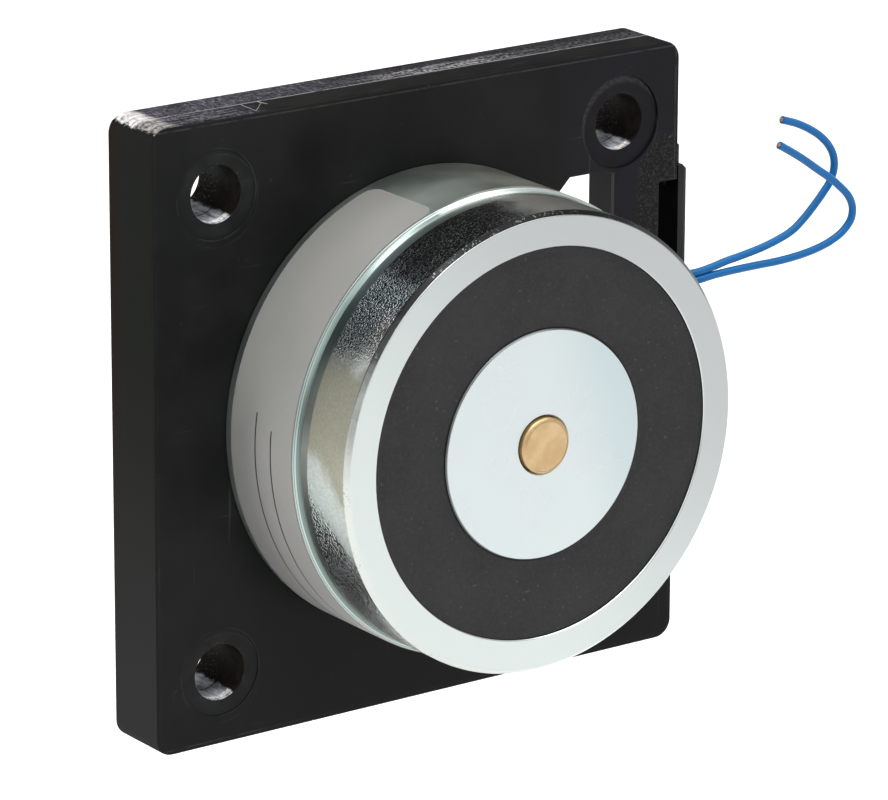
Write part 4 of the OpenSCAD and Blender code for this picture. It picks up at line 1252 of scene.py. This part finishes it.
    normals = dict(zip(outer, inward(outer)))

    def levels(v):
        out = [("m", hollow_z)]
        if v in on_outer:
            out += [("r1", 5.2), ("r2", 5.5), ("r3", 5.8)]
        out.append(("f", front_z(v)))
        return out

    def wall_point(v, level, z):
        if level == "r2" and flat[v][1] > 42.45:
            n = normals[v]
            return at(v, level, z, -0.07 * n.x, -0.07 * n.y)
        return at(v, level, z)

    # a point of the back's rounding at the wall
    def back_point(v):
        return at(v, "b", back_r)

    notches = []
    for (a, b), i in side.items():
        ka, kb = kind[i], what((b, a))
        if ka == "air" or kb == ka:
            continue
        if kb == "air":
            la, lb = levels(a), levels(b)
            if ka == "land":
                la, lb = [("b", back_r), *la], [("b", back_r), *lb]
            ia = [wall_point(a, *q) for q in la]
            ib = [wall_point(b, *q) for q in lb]
            pa, pb = flat[a], flat[b]
            if min(pa[0], pb[0]) > 39.45 and abs(abs(pa[1]) - 23) < 1e-4 and abs(pa[1] - pb[1]) < 1e-4:
                notches.append((ia, ib, 1 if pa[1] > 0 else -1))
                continue
            for k in range(len(ia) - 1):
                s.faces.append((ia[k], ib[k], ib[k + 1], ia[k + 1]))
        elif ka == "land":
            s.faces.append((back_point(a), back_point(b), at(b, "m", hollow_z), at(a, "m", hollow_z)))
    # end walls of the slot, each with its catch notch
    for ia, ib, sy in notches:
        hole, deep = [], []
        for x, z in rect(39.6, 2.6, 41.2, 7.6):
            hole += s.add([(x, sy * 23.0, z)])
            deep += s.add([(x, sy * 23.8, z)])
        s.cap([ia + ib[::-1], hole], uv=lambda p: (p[0], p[2]))
        s.bridge(hole, deep)
        s.faces.append(tuple(deep))

    # floor of the hollow
    for i, t in enumerate(tris):
        if kind[i] == "hollow":
            s.faces.append(tuple(at(v, "m", hollow_z) for v in t))

    # roundings, then the flat faces between them
    def round_off(loop, start, radii, z_face, sign, tag):
        off = inward(loop)
        rows = [start]
        for k in range(1, steps + 1):
            f = math.pi / 2 * k / steps
            rows.append([at(v, tag + str(k), z_face - sign * r * (1 - math.sin(f)),
                            o.x * r * (1 - math.cos(f)), o.y * r * (1 - math.cos(f)))
                         for v, o, r in zip(loop, off, radii)])
        for a, b in zip(rows, rows[1:]):
            s.bridge(a, b)
        return rows[-1]

    caps = [round_off(lp, [back_point(v) for v in lp], [back_r] * len(lp), 0.0, -1, "B") for lp in back_loops]
    s.cap(caps)
    caps = []
    for lp in front_loops:
        st = seat(lp[0])
        edge = round_off(lp, [at(v, "f", front_z(v)) for v in lp], [edge_r(v) for v in lp],
                         top - st[2] if st else top, 1, "F")
        if st:
            cx, cy, d, r = st
            ang = [math.atan2(flat[v][1] - cy, flat[v][0] - cx) for v in lp]
            for rr, z in ((r, top - d), (r, top - 0.04), (r + 0.012, top - 0.012), (r + 0.04, top)):
                ring = s.add([(cx + rr * math.cos(g), cy + rr * math.sin(g), z) for g in ang])
                s.bridge(edge, ring)
                edge = ring
        caps.append(edge)
    s.cap(caps)
    me = s.mesh("mounting_plate_skin")
    for f in me.polygons:
        c, facing = f.center / MM, abs(f.normal.y)
        if facing > 0.8:
            continue
        if min(math.dist((c.x, c.z), q) for q in corners) < 3.85:
            f.material_index = 2
        elif max(abs(c.x), abs(c.z)) > 42.2 or math.hypot(max(0, abs(c.x) - 40), max(0, abs(c.z) - 40)) > 2.2:
            f.material_index = 1
    smooth(me, 32)
    ob = link("mounting_plate_skin", me, "magnet", ("mounting_plate",))
    return weighted(give(ob, M["black_plastic"], M["plate_sides"], M["hole_walls"]))


plate()
cover = skin("side_cover", 0.2, 3)
# the inner faces of the cover's rib take a near-black material: painted shade
for f in cover.data.polygons:
    if f.normal.x < -0.3 and abs(f.center.z) < 24.8 * MM and f.center.x < 42.9 * MM:
        f.material_index = 1
give(cover, M["cover_plastic"], M["cover_rib_shade"])
give(skin("fixing_screws", 0.15, 2), M["screw_steel"])
give(skin("lock_washers", 0.1, 2), M["screw_steel"])
give(skin("flat_washers", 0.1, 2), M["screw_steel"])
give(skin("spring_plug", 0.15, 2), M["dark_steel"])
give(skin("lead_grommet", 0.2, 3), M["rubber"])

IN_LOWER = [(24.26, 5.16, 23), (24.26, 5.16, 20.5), (24.26, 5.16, 18.6), (23.8, 5.5, 17.6), (22.6, 6.5, 16.9),
            (21.6, 7.25, 16.1), (21.6, 7.25, 13), (21.6, 7.25, 10), (21.6, 7.25, 7.5), (22.2, 7.3, 4.8),
            (24, 7.4, 3.1), (27, 7.5, 2.5), (32, 7.8, 2.3), (36, 8.2, 2.3), (39, 8.6, 2.9), (40.4, 8.9, 4),
            (41, 8.9, 5.8), (41, 8.9, 8), (41, 8.9, 10)]
IN_UPPER = [(21.9, 11.64, 23), (21.9, 11.64, 20.5), (21.9, 11.64, 18.7), (21.9, 11, 17.7), (21.8, 9.6, 16.9),
            (21.6, 8.5, 16.1), (21.6, 8.5, 13), (21.6, 8.5, 10), (21.6, 8.5, 7.5), (22.2, 8.6, 4.8),
            (24, 8.8, 3.1), (27, 9, 2.5), (32, 9.3, 2.3), (36, 9.7, 2.3), (39, 10.1, 2.9), (40.4, 10.3, 4),
            (41, 10.3, 5.8), (41, 10.3, 8), (41, 10.3, 10)]
for name, route in (("lower", IN_LOWER), ("upper", IN_UPPER)):
    piece, _, _ = tube_curve("inner_lead_" + name, [(x, -z, y) for x, y, z in route], LEAD_D)
    if name == "lower":
        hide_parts("inner_leads")

for node, slot in (("base_insulator", "fibre"), ("coil_bobbin", "nylon"), ("coil_winding", "copper"),
                   ("winding_tape", "tape"), ("splice_sleeves", "sleeve"),
                   ("solder_joints", "solder")):
    give(frame["nodes"][node], M[slot])


# ------------------------------------------------------------------ floor, light

def floor():
    me = bpy.data.meshes.new("floor")
    s, z = 6.0, -150 * MM      # well below: the part hangs on a wall, and the photo has no shadow
    me.from_pydata([(-s, -s, z), (s, -s, z), (s, s, z), (-s, s, z)], [], [(0, 1, 2, 3)])
    ob = bpy.data.objects.new("floor", me)
    scene.collection.objects.link(ob)
    n = Nodes("floor")
    n.set(Base_Color=n.mix(n.noise(60, 2), (0.925, 0.925, 0.925), (0.94, 0.94, 0.94)), Roughness=0.9)
    n.bsdf.inputs["Specular IOR Level"].default_value = 0.1
    me.materials.append(n.mat)


def area(name, place, target, size, watts, colour=(1, 1, 1)):
    data = bpy.data.lights.new(name, "AREA")
    data.shape = "RECTANGLE"
    data.size, data.size_y = size
    data.energy = watts
    data.color = colour
    ob = bpy.data.objects.new(name, data)
    scene.collection.objects.link(ob)
    ob.location = place
    ob.rotation_mode = "QUATERNION"
    ob.rotation_quaternion = (Vector(target) - Vector(place)).to_track_quat("-Z", "Y")
    return ob


def world(light, dark):
    """White room, dark behind the part above eye level."""
    w = bpy.data.worlds.new("world")
    scene.world = w
    w.use_nodes = True
    tree = w.node_tree
    bg = tree.nodes["Background"]
    bg.inputs[0].default_value = (1.0, 1.0, 1.0, 1.0)
    way = tree.nodes.new("ShaderNodeSeparateXYZ")
    tree.links.new(tree.nodes.new("ShaderNodeTexCoord").outputs["Generated"], way.inputs[0])

    def ramp(value, a, b, lo, hi):
        m = tree.nodes.new("ShaderNodeMapRange")
        m.interpolation_type = "SMOOTHSTEP"
        for i, v in enumerate((value, a, b, lo, hi)):
            if isinstance(v, bpy.types.NodeSocket):
                tree.links.new(v, m.inputs[i])
            else:
                m.inputs[i].default_value = v
        return m.outputs[0]

    above = ramp(way.outputs[2], 0.32, 0.42, 0.0, 1.0)
    behind = ramp(way.outputs[1], -0.05, 0.35, 0.0, 1.0)
    both = tree.nodes.new("ShaderNodeMath")
    both.operation = "MULTIPLY"
    tree.links.new(above, both.inputs[0])
    tree.links.new(behind, both.inputs[1])
    tree.links.new(ramp(both.outputs[0], 0.0, 1.0, light, dark), bg.inputs[1])


floor()
world(0.95, 0.06)
area("overhead", (0.0, 0.0, 1.5), (0, 0, 0), (2.4, 2.4), 42)
area("key", (-0.22, -0.30, 1.0), (0, 0, 0), (0.34, 0.30), 3.2)
area("left_front", (-1.1, -0.7, 0.7), (0, 0, 0), (0.7, 0.9), 2.0)

scene.view_settings.view_transform = "Standard"
scene.view_settings.look = "None"
scene.view_settings.exposure = 0.0
scene.view_settings.gamma = 1.0
